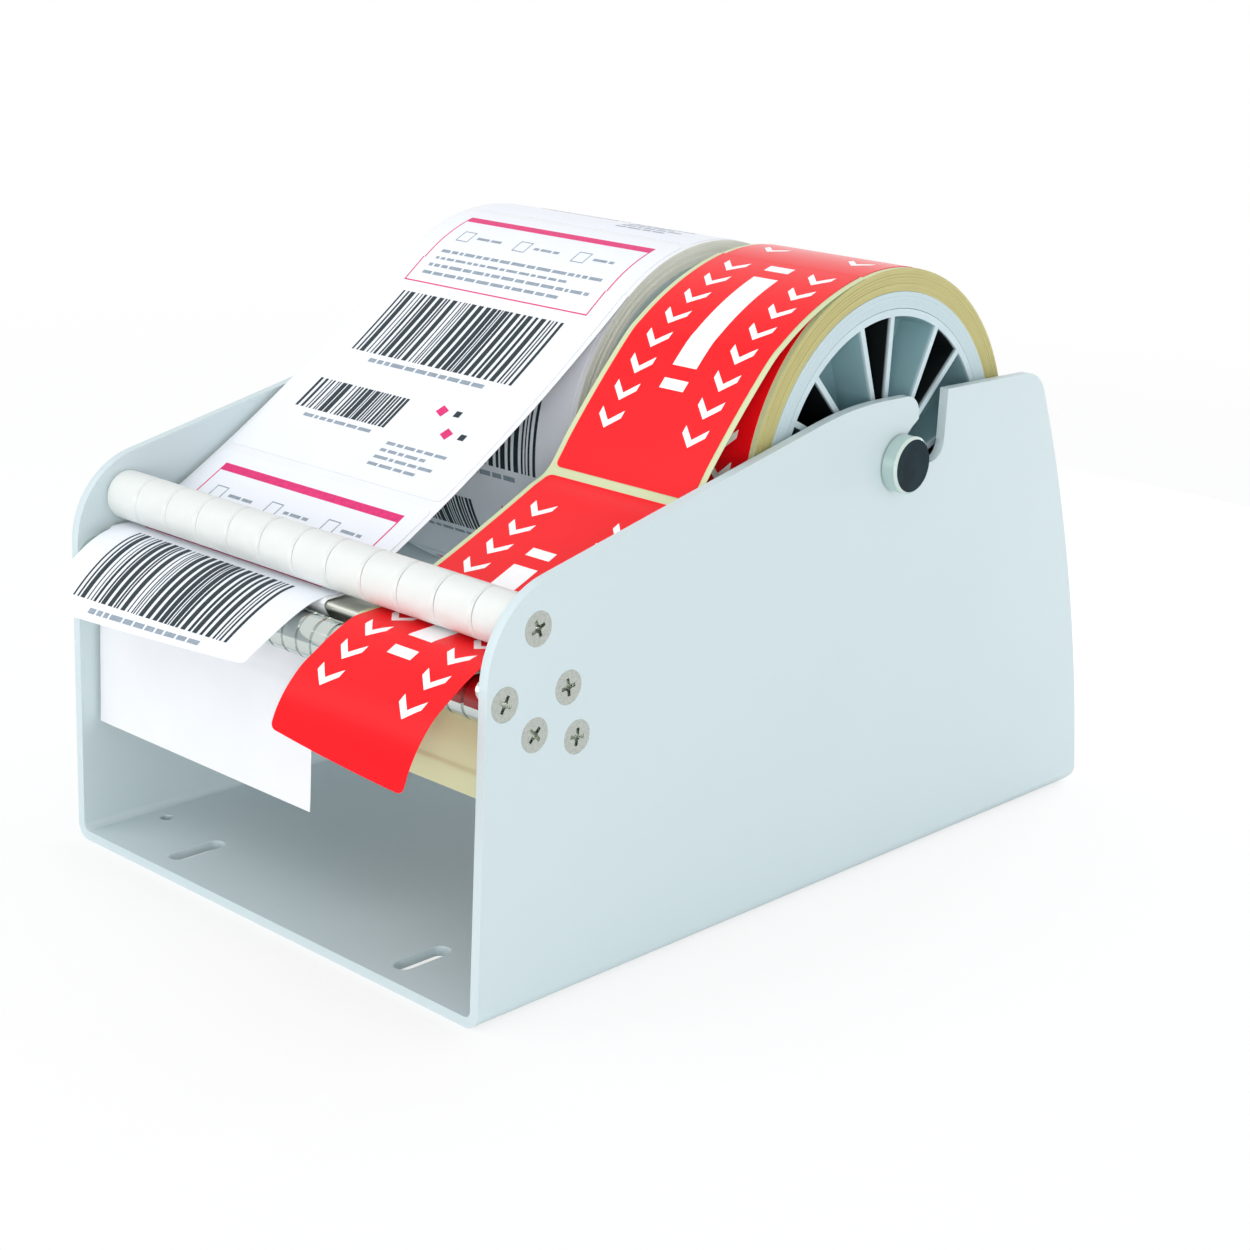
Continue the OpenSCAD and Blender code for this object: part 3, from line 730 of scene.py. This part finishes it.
class WebKit:
    """Sizes, routes and finishes of one of the two webs and of its roll."""

    def __init__(self, side, leave_deg, routes, label_length_mm, gaps, marks, stock, inks):
        self.side = side
        self.roll_r = radius_of(side + "_roll")
        self.leave_deg = leave_deg
        self.liner_route, self.tongue_route, self.tongue_from, self.twist, self.curl = routes
        self.label_length = label_length_mm * MM
        self.rear_end, self.front_start = gaps
        self.marks = marks
        self.stock = stock
        self.inks = inks
        self.x0, self.x1 = span(side + "_liner")


def paper():
    return bpy.context.scene.dispenser_paper


def liner_place(route):
    """Places (s, x) of a liner, whose middle lies a little above its route."""
    thickness = paper().liner_mm * MM

    def place(s, x, side):
        y, z = route.at(s, LINER_LIFT + (side - 0.5) * thickness)
        return (x, y, z)

    return place


def label_place(kit, route, start, bottom, top, droop_from=None):
    """Places (t, x) of a label whose trailing edge lies at distance start on the route."""
    left = kit.x0 + paper().margin_mm * MM
    centre = (kit.x0 + kit.x1) / 2
    half = (kit.x1 - kit.x0) / 2

    def place(t, x, side):
        s = start + t
        y, z = route.at(s, top if side else bottom)
        if droop_from is not None and s > droop_from:
            share = (s - droop_from) / (route.length - droop_from)
            off = (left + x - centre) / half
            z += (kit.twist * off - kit.curl * (1 - off**2)) * share**2
        return (left + x, y, z)

    return place


def label_sheet(name, kit, t0, t1, length, place, material):
    """A label from t0 to t1 of its length; its real corners are rounded, a cut end is not."""
    radius = paper().corner_mm * MM
    width = kit.x1 - kit.x0 - 2 * paper().margin_mm * MM
    rows = evenly(t0, t1, ROW_STEP)
    ends = ([0.0] if t0 <= 0 else []) + ([length] if t1 >= length - 1e-9 else [])
    for end in ends:
        rows += [end + (radius * k if end == 0 else -radius * k) for k in (0.08, 0.25, 0.5, 0.8)]
    rows = sorted(set(round(r, 7) for r in rows if t0 <= r <= t1))
    columns = [0.0, *evenly(1.2 * radius, width - 1.2 * radius, LABEL_COLUMN), width]

    def rounded(t, x, side):
        near = min([abs(t - end) for end in ends] or [radius])
        inset = radius - math.sqrt(max(0.0, radius**2 - (radius - near) ** 2)) if near < radius else 0.0
        return place(t, min(max(x, inset), width - inset), side)

    return solid_sheet(name, rows, columns, rounded, [material])


def marks_between(marks, t0_mm, t1_mm):
    """The marks, or the parts of straight ones, between two distances from the trailing edge."""
    kept, edge_mm = [], 0.6
    for quad, ink in marks:
        low, high = min(c[1] for c in quad), max(c[1] for c in quad)
        if low >= t0_mm + edge_mm and high <= t1_mm - edge_mm:
            kept.append((quad, ink))
        elif len({c[1] for c in quad}) == 2 and high > t0_mm + edge_mm and low < t1_mm - edge_mm:
            kept.append(([(x, min(max(t, t0_mm), t1_mm)) for x, t in quad], ink))
    return kept


def across_joint(piece, kit):
    """Bakes the piece's place into its mesh; the point where the web leaves its roll is worked out but not
    used.
    """
    end = polar(ROLL_AT, kit.roll_r, kit.leave_deg)
    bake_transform(piece)


def build_web(kit):
    """Liner, rear and front label of one web with their print; gives the part still on the roll."""
    settings = paper()
    bottom = LABEL_LIFT
    top = bottom + settings.label_mm * MM
    side = kit.side
    route = kit.liner_route
    rows, columns = evenly(0, route.length, ROW_STEP), evenly(kit.x0, kit.x1, LINER_COLUMN)
    liner = solid_sheet(side + "_liner_web", rows, columns, liner_place(route), [kit.stock["liner"]])
    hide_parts(side + "_liner")
    across_joint(liner, kit)

    length = kit.label_length
    trailing = kit.rear_end - length
    shown_from = max(0.0, -trailing)
    rear_place = label_place(kit, route, trailing, bottom, top)
    rear = label_sheet(side + "_label_rear_web", kit, shown_from, length, length,
                       rear_place, kit.stock["label"])
    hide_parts(side + "_label_rear")
    rear_marks = marks_between(kit.marks, shown_from / MM, length / MM)
    rear_ink = print_marks(side + "_label_rear_print", rear_marks,
                           label_place(kit, route, trailing, *ink_lifts(top)), kit.inks)

    tongue = kit.tongue_route
    reach = tongue.length - kit.front_start
    front_place = label_place(kit, tongue, kit.front_start, bottom, top, kit.tongue_from)
    front = label_sheet(side + "_label_front_web", kit, 0.0, reach, reach, front_place, kit.stock["label"])
    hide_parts(side + "_label_front")
    front_ink_place = label_place(kit, tongue, kit.front_start, *ink_lifts(top), kit.tongue_from)
    front_ink = print_marks(side + "_label_front_print", marks_between(kit.marks, 0, reach / MM),
                            front_ink_place, kit.inks)
    for piece in (rear, rear_ink, front, front_ink):
        across_joint(piece, kit)
    return shown_from


def roll_surface(kit):
    """Route round the roll in the sense in which the web leaves it, ending where it leaves."""
    degrees = np.linspace(kit.leave_deg - 360, kit.leave_deg, 721)
    radius = kit.roll_r - ROLL_SKIN
    return Web([polar(ROLL_AT, radius, d) for d in degrees])


def wound_roll(kit):
    """The wound turns: a ring whose sides step in and out a little from turn to turn."""
    settings = paper()
    draw = random.Random(len(kit.side))
    inner = radius_of(kit.side + "_core") + 0.05 * MM
    outer = kit.roll_r - ROLL_SKIN
    x0, x1 = span(kit.side + "_roll")
    radii = np.linspace(inner, outer, settings.turns + 1)
    profile = []
    for x, way in ((x1, 1), (x0, -1)):
        offsets = [draw.uniform(0.0, TURN_STEP) for _ in range(settings.turns)]
        steps = []
        for k, offset in enumerate(offsets):
            steps += [(radii[k], x - way * offset), (radii[k + 1], x - way * offset)]
        profile += steps if way > 0 else steps[::-1]
    segments = 180
    corners = []
    for i in range(segments):
        for radius, x in profile:
            y, z = polar(ROLL_AT, radius, 360 * i / segments)
            corners.append((x, y, z))
    count = len(profile)
    faces, kinds = [], []
    outer_edge = 2 * settings.turns - 1
    for i in range(segments):
        for j in range(count):
            a, b = i * count + j, i * count + (j + 1) % count
            c, d = ((i + 1) % segments) * count + (j + 1) % count, ((i + 1) % segments) * count + j
            faces.append((a, b, c, d))
            kinds.append(1 if j == outer_edge else 0)
    materials = [kit.stock["edges"], kit.stock["liner"]]
    piece = made_piece(kit.side + "_roll_wound", corners, faces, materials, kinds)
    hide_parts(kit.side + "_roll")
    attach(piece, kit.side + "_roll")


def labels_on_roll(kit, first_shown):
    """Labels on the outer turn, which carry on from the web over the top of the roll."""
    settings = paper()
    route = roll_surface(kit)
    bottom = TURN_LIFT
    top = bottom + settings.label_mm * MM
    gap = settings.gap_mm * MM
    length = kit.label_length
    trailing = route.length - first_shown
    count = 1
    if first_shown > 0:
        label_turn(kit, route, count, trailing, 0.0, first_shown, bottom, top)
    while trailing > 2 * gap:
        count += 1
        leading = trailing - gap
        trailing = leading - length
        label_turn(kit, route, count, trailing, max(0.0, gap - trailing), length, bottom, top)


def label_turn(kit, route, count, start, t_low, t_high, bottom, top):
    """What shows of one label of the outer turn, whose trailing edge lies at start."""
    name = f"{kit.side}_label_turn_{count}"
    place = label_place(kit, route, start, bottom, top)
    piece = label_sheet(name, kit, t_low, t_high, kit.label_length, place, kit.stock["label"])
    ink_place = label_place(kit, route, start, *ink_lifts(top))
    ink = print_marks(name + "_print", marks_between(kit.marks, t_low / MM, t_high / MM), ink_place, kit.inks)
    for made in (piece, ink):
        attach(made, kit.side + "_roll")


# ---- routes ----------------------------------------------------------------------


# A route's gap under the rollers, and the radius of its curve over the peel edge.
UNDER_ROLLER = 1.1 * MM
NOSE_R = 1.5 * MM


def under_rollers():
    """The curve of a web under the rollers, and the centre of its curve over the peel edge."""
    nose_at = np.array([PEEL_LOW.y + 1.2 * MM, PEEL_HIGH.z - 1.2 * MM])
    return [polar(ROLLER_AT, ROLLER_R + UNDER_ROLLER, a) for a in (-55, -72, -90)], nose_at


def to_the_tail(nose_at, tail_z):
    """Round the peel edge, down behind the front rod and forward to the hanging end."""
    rod_r = ROD_R + 0.7 * MM
    off = polar(ROD_AT, rod_r, -50)
    drops = [off - np.array(v) * MM for v in ((1.6, 3.5), (3.4, 8.8), (4.5, 15.3))]
    end = [np.array([off[0] - 5.0 * MM, tail_z + 6 * MM]), np.array([off[0] - 5.2 * MM, tail_z])]
    return ([polar(nose_at, NOSE_R, a) for a in (90, 120, 150, 180)]
            + [polar(ROD_AT, rod_r, a) for a in (30, 10, -10, -30, -50)] + drops + end)


def to_the_tip(nose_at, beyond_mm):
    """Off the peel edge, close over the front rod, and out to the label's free end."""
    return [polar(nose_at, NOSE_R, 90)] + [nose_at + np.array(v) * MM for v in beyond_mm]


def distance_of(route, point):
    return float(route.s[np.argmin(np.linalg.norm(route.p - point, axis=1))])


def web_routes(stretch, side, beyond_mm, twist_mm, curl_mm):
    """Liner and tongue routes that share everything down to the peel edge."""
    arc, nose_at = under_rollers()
    tail_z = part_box(side + "_liner")[0].z
    common = stretch + arc
    liner = Web(smooth_route(common + to_the_tail(nose_at, tail_z)))
    tongue = Web(smooth_route(common + to_the_tip(nose_at, beyond_mm)))
    return liner, tongue, distance_of(tongue, polar(ROD_AT, ROD_R, 92)), twist_mm * MM, curl_mm * MM


def entry_point():
    return ROLLER_AT + np.array([10.4 * MM, 3.9 * MM - (ROLLER_R + UNDER_ROLLER)])


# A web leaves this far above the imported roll, so that the turning labels pass under it.
WEB_START = 0.06 * MM
WIDE_START_R = radius_of("wide_roll") + WEB_START
NARROW_START_R = radius_of("narrow_roll") + WEB_START

# The wide web sags, its gap between labels lies a little behind the rollers, and its free
# label reaches out and down along a curve.
WIDE_SAG = 3.2 * MM
WIDE_GAP_BEHIND = 29.6 * MM
WIDE_TIP_MM = (-27.8, -16.7)
WIDE_TIP_BEND = 1.6

# The narrow web springs off its roll in a loose turn, and then folds.
NARROW_LEAVE_DEG = 104
NARROW_LOOSE_DEG = 39
NARROW_LIFT = 5.4 * MM
NARROW_FOLD = np.array([54, 25.4]) * MM
NARROW_BULGE = 1.3 * MM
NARROW_SAG = 0.7 * MM


def tangent_degrees(radius, aim):
    """Where a web that heads for the point aim leaves a roll of this radius."""
    y, z = aim - ROLL_AT
    return math.degrees(math.atan2(z, y) - math.acos(radius / math.hypot(y, z))) % 360


def wide_kit():
    """The wider, white web: off its roll along a tangent, a little slack."""
    settings = paper()
    leave_deg = tangent_degrees(WIDE_START_R, entry_point() - np.array([0, 4 * WIDE_SAG]))
    stretch = sagging(polar(ROLL_AT, WIDE_START_R, leave_deg), entry_point(), WIDE_SAG)
    out, down = WIDE_TIP_MM
    beyond = [(out * t, 1.5 + down * t**WIDE_TIP_BEND) for t in np.arange(1, 8) / 7]
    routes = web_routes(stretch, "wide", beyond, twist_mm=3.4, curl_mm=0.5)
    gap_at = distance_of(routes[0], stretch[-1]) - WIDE_GAP_BEHIND
    half_gap = settings.gap_mm * MM / 2
    stock = {
        "liner": coated_paper("siliconed_white_liner", settings.white_liner, 0.42, 0.1),
        "liner_slot": "white_liner",
        "label": coated_paper("coated_white_label", settings.white_label, 0.5, 0.12),
        "label_slot": "white_label",
        "edges": wound_edges("white_roll_edges", settings.white_edges, ROLL_AT),
        "roll_slot": "wound_white",
    }
    inks = {
        "black": printed_ink("black_bar_ink", settings.black_ink),
        "magenta": printed_ink("magenta_ink", settings.magenta_ink),
        "grey": printed_ink("grey_ink", settings.grey_ink),
    }
    gaps = (gap_at - half_gap, gap_at + half_gap)
    return WebKit("wide", leave_deg, routes, settings.wide_length_mm, gaps, white_label_print(), stock, inks)


def narrow_kit():
    """The narrower, red web: loose round its roll, bulging, then folded at the gap between two labels."""
    settings = paper()
    loose = [polar(ROLL_AT, NARROW_START_R + NARROW_LIFT * t**2, NARROW_LEAVE_DEG + NARROW_LOOSE_DEG * t)
             for t in np.linspace(0, 1, 9)]
    entry = entry_point()
    fold = entry + NARROW_FOLD
    stretch = loose + sagging(loose[-1], fold, -NARROW_BULGE, 5)[1:] + sagging(fold, entry, NARROW_SAG, 8)[1:]
    beyond = (
        (-4.5, 1.0), (-9, -0.9), (-13.1, -3.1), (-17.5, -6),
        (-22.5, -9.5), (-27.1, -14.5), (-30.5, -20), (-32.7, -25.6),
    )
    routes = web_routes(stretch, "narrow", beyond, twist_mm=-2.0, curl_mm=0.6)
    gap_at = distance_of(routes[0], fold)
    half_gap = settings.gap_mm * MM / 2
    stock = {
        "liner": coated_paper("glassine_liner", settings.glassine, 0.4, 0.15),
        "liner_slot": "glassine_liner",
        "label": coated_paper("gloss_red_label", settings.red_label, 0.3, 0.8, specular=0.05),
        "label_slot": "red_label",
        "edges": wound_edges("glassine_roll_edges", settings.glassine_edges, ROLL_AT),
        "roll_slot": "wound_red",
    }
    inks = {"white": printed_ink("white_ink", settings.white_ink)}
    gaps = (gap_at - half_gap, gap_at + half_gap)
    return WebKit("narrow", NARROW_LEAVE_DEG, routes, settings.narrow_length_mm, gaps,
                  red_label_print(), stock, inks)


def make_web(kit):
    """A web with its labels, its roll, and the labels on that roll."""
    shown_from = build_web(kit)
    wound_roll(kit)
    labels_on_roll(kit, shown_from)


# ---- operators -------------------------------------------------------------------


class DISPENSER_OT_channel(bpy.types.Operator):
    """Finish the folded channel"""

    bl_idname = "dispenser.channel"
    bl_label = "Channel"

    def execute(self, context):
        finish = context.scene.dispenser_finish
        dress("body_channel", powder_coated_steel("powder_coated_steel", finish.powder))
        soften_edges("body_channel", finish.edge_mm)
        return {"FINISHED"}


class DISPENSER_OT_metalwork(bpy.types.Operator):
    """Finish the rods, the peel bar and the screws"""

    bl_idname = "dispenser.metalwork"
    bl_label = "Rods, peel bar and screws"

    def execute(self, context):
        finish = context.scene.dispenser_finish
        dress("roller_rod", drawn_steel("drawn_steel_rod", finish.steel))
        dress("front_rod", chromed_steel("chromed_front_rod", finish.chrome))
        dress("peel_bar", extruded_aluminium("extruded_aluminium", finish.aluminium))
        screw = nickelled_screw("nickelled_screw", finish.nickel)
        for node in ("screws_left", "screws_right"):
            dress(node, screw)
        return {"FINISHED"}


class DISPENSER_OT_spindle(bpy.types.Operator):
    """Finish the spindle and its two caps"""

    bl_idname = "dispenser.spindle"
    bl_label = "Spindle and caps"

    def execute(self, context):
        finish = context.scene.dispenser_finish
        dress("spindle", drawn_steel("drawn_steel_spindle", finish.steel))
        face_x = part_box("spindle_cap_right")[1].x - 0.05 * MM
        cap = turned_cap("turned_cap", finish.cap_side, finish.cap_face_painted_reflection, SPINDLE_AT, face_x)
        for node in ("spindle_cap_left", "spindle_cap_right"):
            dress(node, cap)
        return {"FINISHED"}


class DISPENSER_OT_rollers(bpy.types.Operator):
    """Finish the row of guide rollers"""

    bl_idname = "dispenser.rollers"
    bl_label = "Guide rollers"

    def execute(self, context):
        acetal = moulded_acetal("moulded_acetal", context.scene.dispenser_finish.roller)
        for node in ROLLERS:
            dress(node, acetal)
        return {"FINISHED"}


class DISPENSER_OT_wheels(bpy.types.Operator):
    """Finish the wheels and the board cores"""

    bl_idname = "dispenser.wheels"
    bl_label = "Wheels and cores"

    def execute(self, context):
        finish = context.scene.dispenser_finish
        board = wound_board("wound_board", finish.core, ROLL_AT)
        for roll in ("wide", "narrow"):
            dress(roll + "_core", board)
        pale = (finish.wheel, finish.wheel_recess_painted_shade, finish.wheel_gap_painted_shade)
        # Painted shade: the two inner wheels are coloured near-black in place of the shade between the rolls.
        dark = (finish.wheel_inner_painted_shade, finish.wheel_inner_painted_shade, finish.wheel_gap_painted_shade)
        for node in ("wide_wheel_left", "narrow_wheel_right"):
            dress(node, moulded_abs(node + "_abs", *pale, span(node), middle(node)))
        for node in ("wide_wheel_right", "narrow_wheel_left"):
            dress(node, moulded_abs(node + "_painted_shade_abs", *dark, span(node), middle(node)))
        return {"FINISHED"}


class DISPENSER_OT_white_web(bpy.types.Operator):
    """Make the wider roll, its liner and its white labels"""

    bl_idname = "dispenser.white_web"
    bl_label = "White labels"

    def execute(self, context):
        make_web(wide_kit())
        return {"FINISHED"}


class DISPENSER_OT_red_web(bpy.types.Operator):
    """Make the narrower roll, its liner and its red labels"""

    bl_idname = "dispenser.red_web"
    bl_label = "Red labels"

    def execute(self, context):
        make_web(narrow_kit())
        return {"FINISHED"}


def camera_axes(azimuth, elevation, roll):
    """Right, up and back of a camera that looks from azimuth and elevation, tilted by roll."""
    a, e, r = (math.radians(v) for v in (azimuth, elevation, roll))
    back = Vector((math.sin(a) * math.cos(e), -math.cos(a) * math.cos(e), math.sin(e)))
    level = Vector((math.cos(a), math.sin(a), 0))
    upright = back.cross(level)
    right = math.cos(r) * level + math.sin(r) * upright
    return right, back.cross(right), back


class DISPENSER_OT_studio(bpy.types.Operator):
    """Set up the floor, the lamps and the camera"""

    bl_idname = "dispenser.studio"
    bl_label = "Studio"

    def execute(self, context):
        studio = context.scene.dispenser_studio
        self.floor(studio)
        self.sky(context.scene, studio)
        self.lamp("key", (-0.5, -0.9, 1.3), 1.2, studio.key)
        self.lamp("fill", (1.0, -1.25, 0.26), 0.5, studio.fill)
        self.lamp("rear", (0.05, 0.55, 0.1), 0.3, studio.rear)
        self.camera(context.scene, studio)
        context.scene.view_settings.view_transform = "Standard"
        return {"FINISHED"}

    def floor(self, studio):
        mesh = bpy.data.meshes.new("floor")
        reach = 6.0
        corners = [(-reach, -reach, 0), (reach, -reach, 0), (reach, reach, 0), (-reach, reach, 0)]
        mesh.from_pydata(corners, [], [(0, 1, 2, 3)])
        floor = bpy.data.objects.new("floor", mesh)
        bpy.context.scene.collection.objects.link(floor)
        material = bpy.data.materials.new("pale_floor")
        material.use_nodes = True
        tree = material.node_tree
        tree.nodes.clear()
        matt = add(tree, "BsdfDiffuse", sockets={"Color": opaque(studio.floor)})
        white = add(tree, "Emission", sockets={"Color": (1, 1, 1, 1), "Strength": 1.0})
        path = add(tree, "LightPath")
        place = add(tree, "TexCoord").outputs["Object"]
        away = add(tree, "VectorMath", {"operation": "LENGTH"}, {0: place}).outputs["Value"]
        fade = {"Value": away, "From Min": 0.25, "From Max": 1.1, "To Min": 0.72, "To Max": 1.0}
        lift = add(tree, "MapRange", sockets=fade).outputs[0]
        camera_ray = path.outputs["Is Camera Ray"]
        seen = add(tree, "Math", {"operation": "MULTIPLY"}, {0: camera_ray, 1: lift}).outputs[0]
        mixed = add(tree, "MixShader", sockets={0: seen, 1: matt.outputs[0], 2: white.outputs[0]})
        add(tree, "OutputMaterial", sockets={"Surface": mixed.outputs[0]})
        mesh.materials.append(material)

    def sky(self, scene, studio):
        world = bpy.data.worlds.new("studio_sky")
        world.use_nodes = True
        tree = world.node_tree
        tree.nodes.clear()
        path = add(tree, "LightPath").outputs
        looked = path["Is Camera Ray"]
        for ray in ("Is Glossy Ray", "Is Transmission Ray"):
            looked = add(tree, "Math", {"operation": "MAXIMUM"}, {0: looked, 1: path[ray]}).outputs[0]
        lighting = add(tree, "Background", sockets={"Color": (0.97, 0.985, 1, 1), "Strength": studio.sky})
        backdrop = add(tree, "Background", sockets={"Color": (1, 1, 1, 1), "Strength": 1.0})
        mixed = add(tree, "MixShader", sockets={0: looked, 1: lighting.outputs[0], 2: backdrop.outputs[0]})
        add(tree, "OutputWorld", sockets={"Surface": mixed.outputs[0]})
        scene.world = world

    def lamp(self, name, place, size, power):
        data = bpy.data.lights.new(name, "AREA")
        data.size = size
        data.energy = power
        lamp = bpy.data.objects.new(name, data)
        bpy.context.scene.collection.objects.link(lamp)
        lamp.location = place
        aim = Vector((0, 0, 0.08)) - lamp.location
        lamp.rotation_euler = aim.to_track_quat("-Z", "Y").to_euler()

    def camera(self, scene, studio):
        data = bpy.data.cameras.new("camera")
        data.lens = studio.lens
        data.sensor_width = 36.0
        data.clip_start, data.clip_end = 0.02, 20
        camera = bpy.data.objects.new("camera", data)
        scene.collection.objects.link(camera)
        axes = Matrix(camera_axes(studio.azimuth, studio.elevation, studio.roll)).transposed()
        camera.matrix_world = Matrix.Translation(Vector(studio.place)) @ axes.to_4x4()
        scene.camera = camera


class DISPENSER_PT_looks(bpy.types.Panel):
    """Sizes, colours and steps of the dispenser's looks"""

    bl_idname = "DISPENSER_PT_looks"
    bl_label = "Label dispenser"
    bl_space_type = "VIEW_3D"
    bl_region_type = "UI"
    bl_category = "Dispenser"

    def draw(self, context):
        layout = self.layout
        scene = context.scene
        for settings in (scene.dispenser_finish, scene.dispenser_paper, scene.dispenser_studio):
            box = layout.box()
            for name in settings.bl_rna.properties.keys():
                if name not in ("rna_type", "name"):
                    box.prop(settings, name)
        for operator in OPERATORS:
            layout.operator(operator.bl_idname)


OPERATORS = (
    DISPENSER_OT_studio,
    DISPENSER_OT_channel,
    DISPENSER_OT_metalwork,
    DISPENSER_OT_spindle,
    DISPENSER_OT_rollers,
    DISPENSER_OT_wheels,
    DISPENSER_OT_white_web,
    DISPENSER_OT_red_web,
)
CLASSES = (FinishSettings, PaperSettings, StudioSettings, *OPERATORS, DISPENSER_PT_looks)


def register():
    for cls in CLASSES:
        bpy.utils.register_class(cls)
    bpy.types.Scene.dispenser_finish = PointerProperty(type=FinishSettings)
    bpy.types.Scene.dispenser_paper = PointerProperty(type=PaperSettings)
    bpy.types.Scene.dispenser_studio = PointerProperty(type=StudioSettings)


def unregister():
    del bpy.types.Scene.dispenser_studio
    del bpy.types.Scene.dispenser_paper
    del bpy.types.Scene.dispenser_finish
    for cls in reversed(CLASSES):
        bpy.utils.unregister_class(cls)


def main():
    register()
    for operator in OPERATORS:
        group, name = operator.bl_idname.split(".")
        getattr(getattr(bpy.ops, group), name)()


if __name__ == "__main__":
    main()
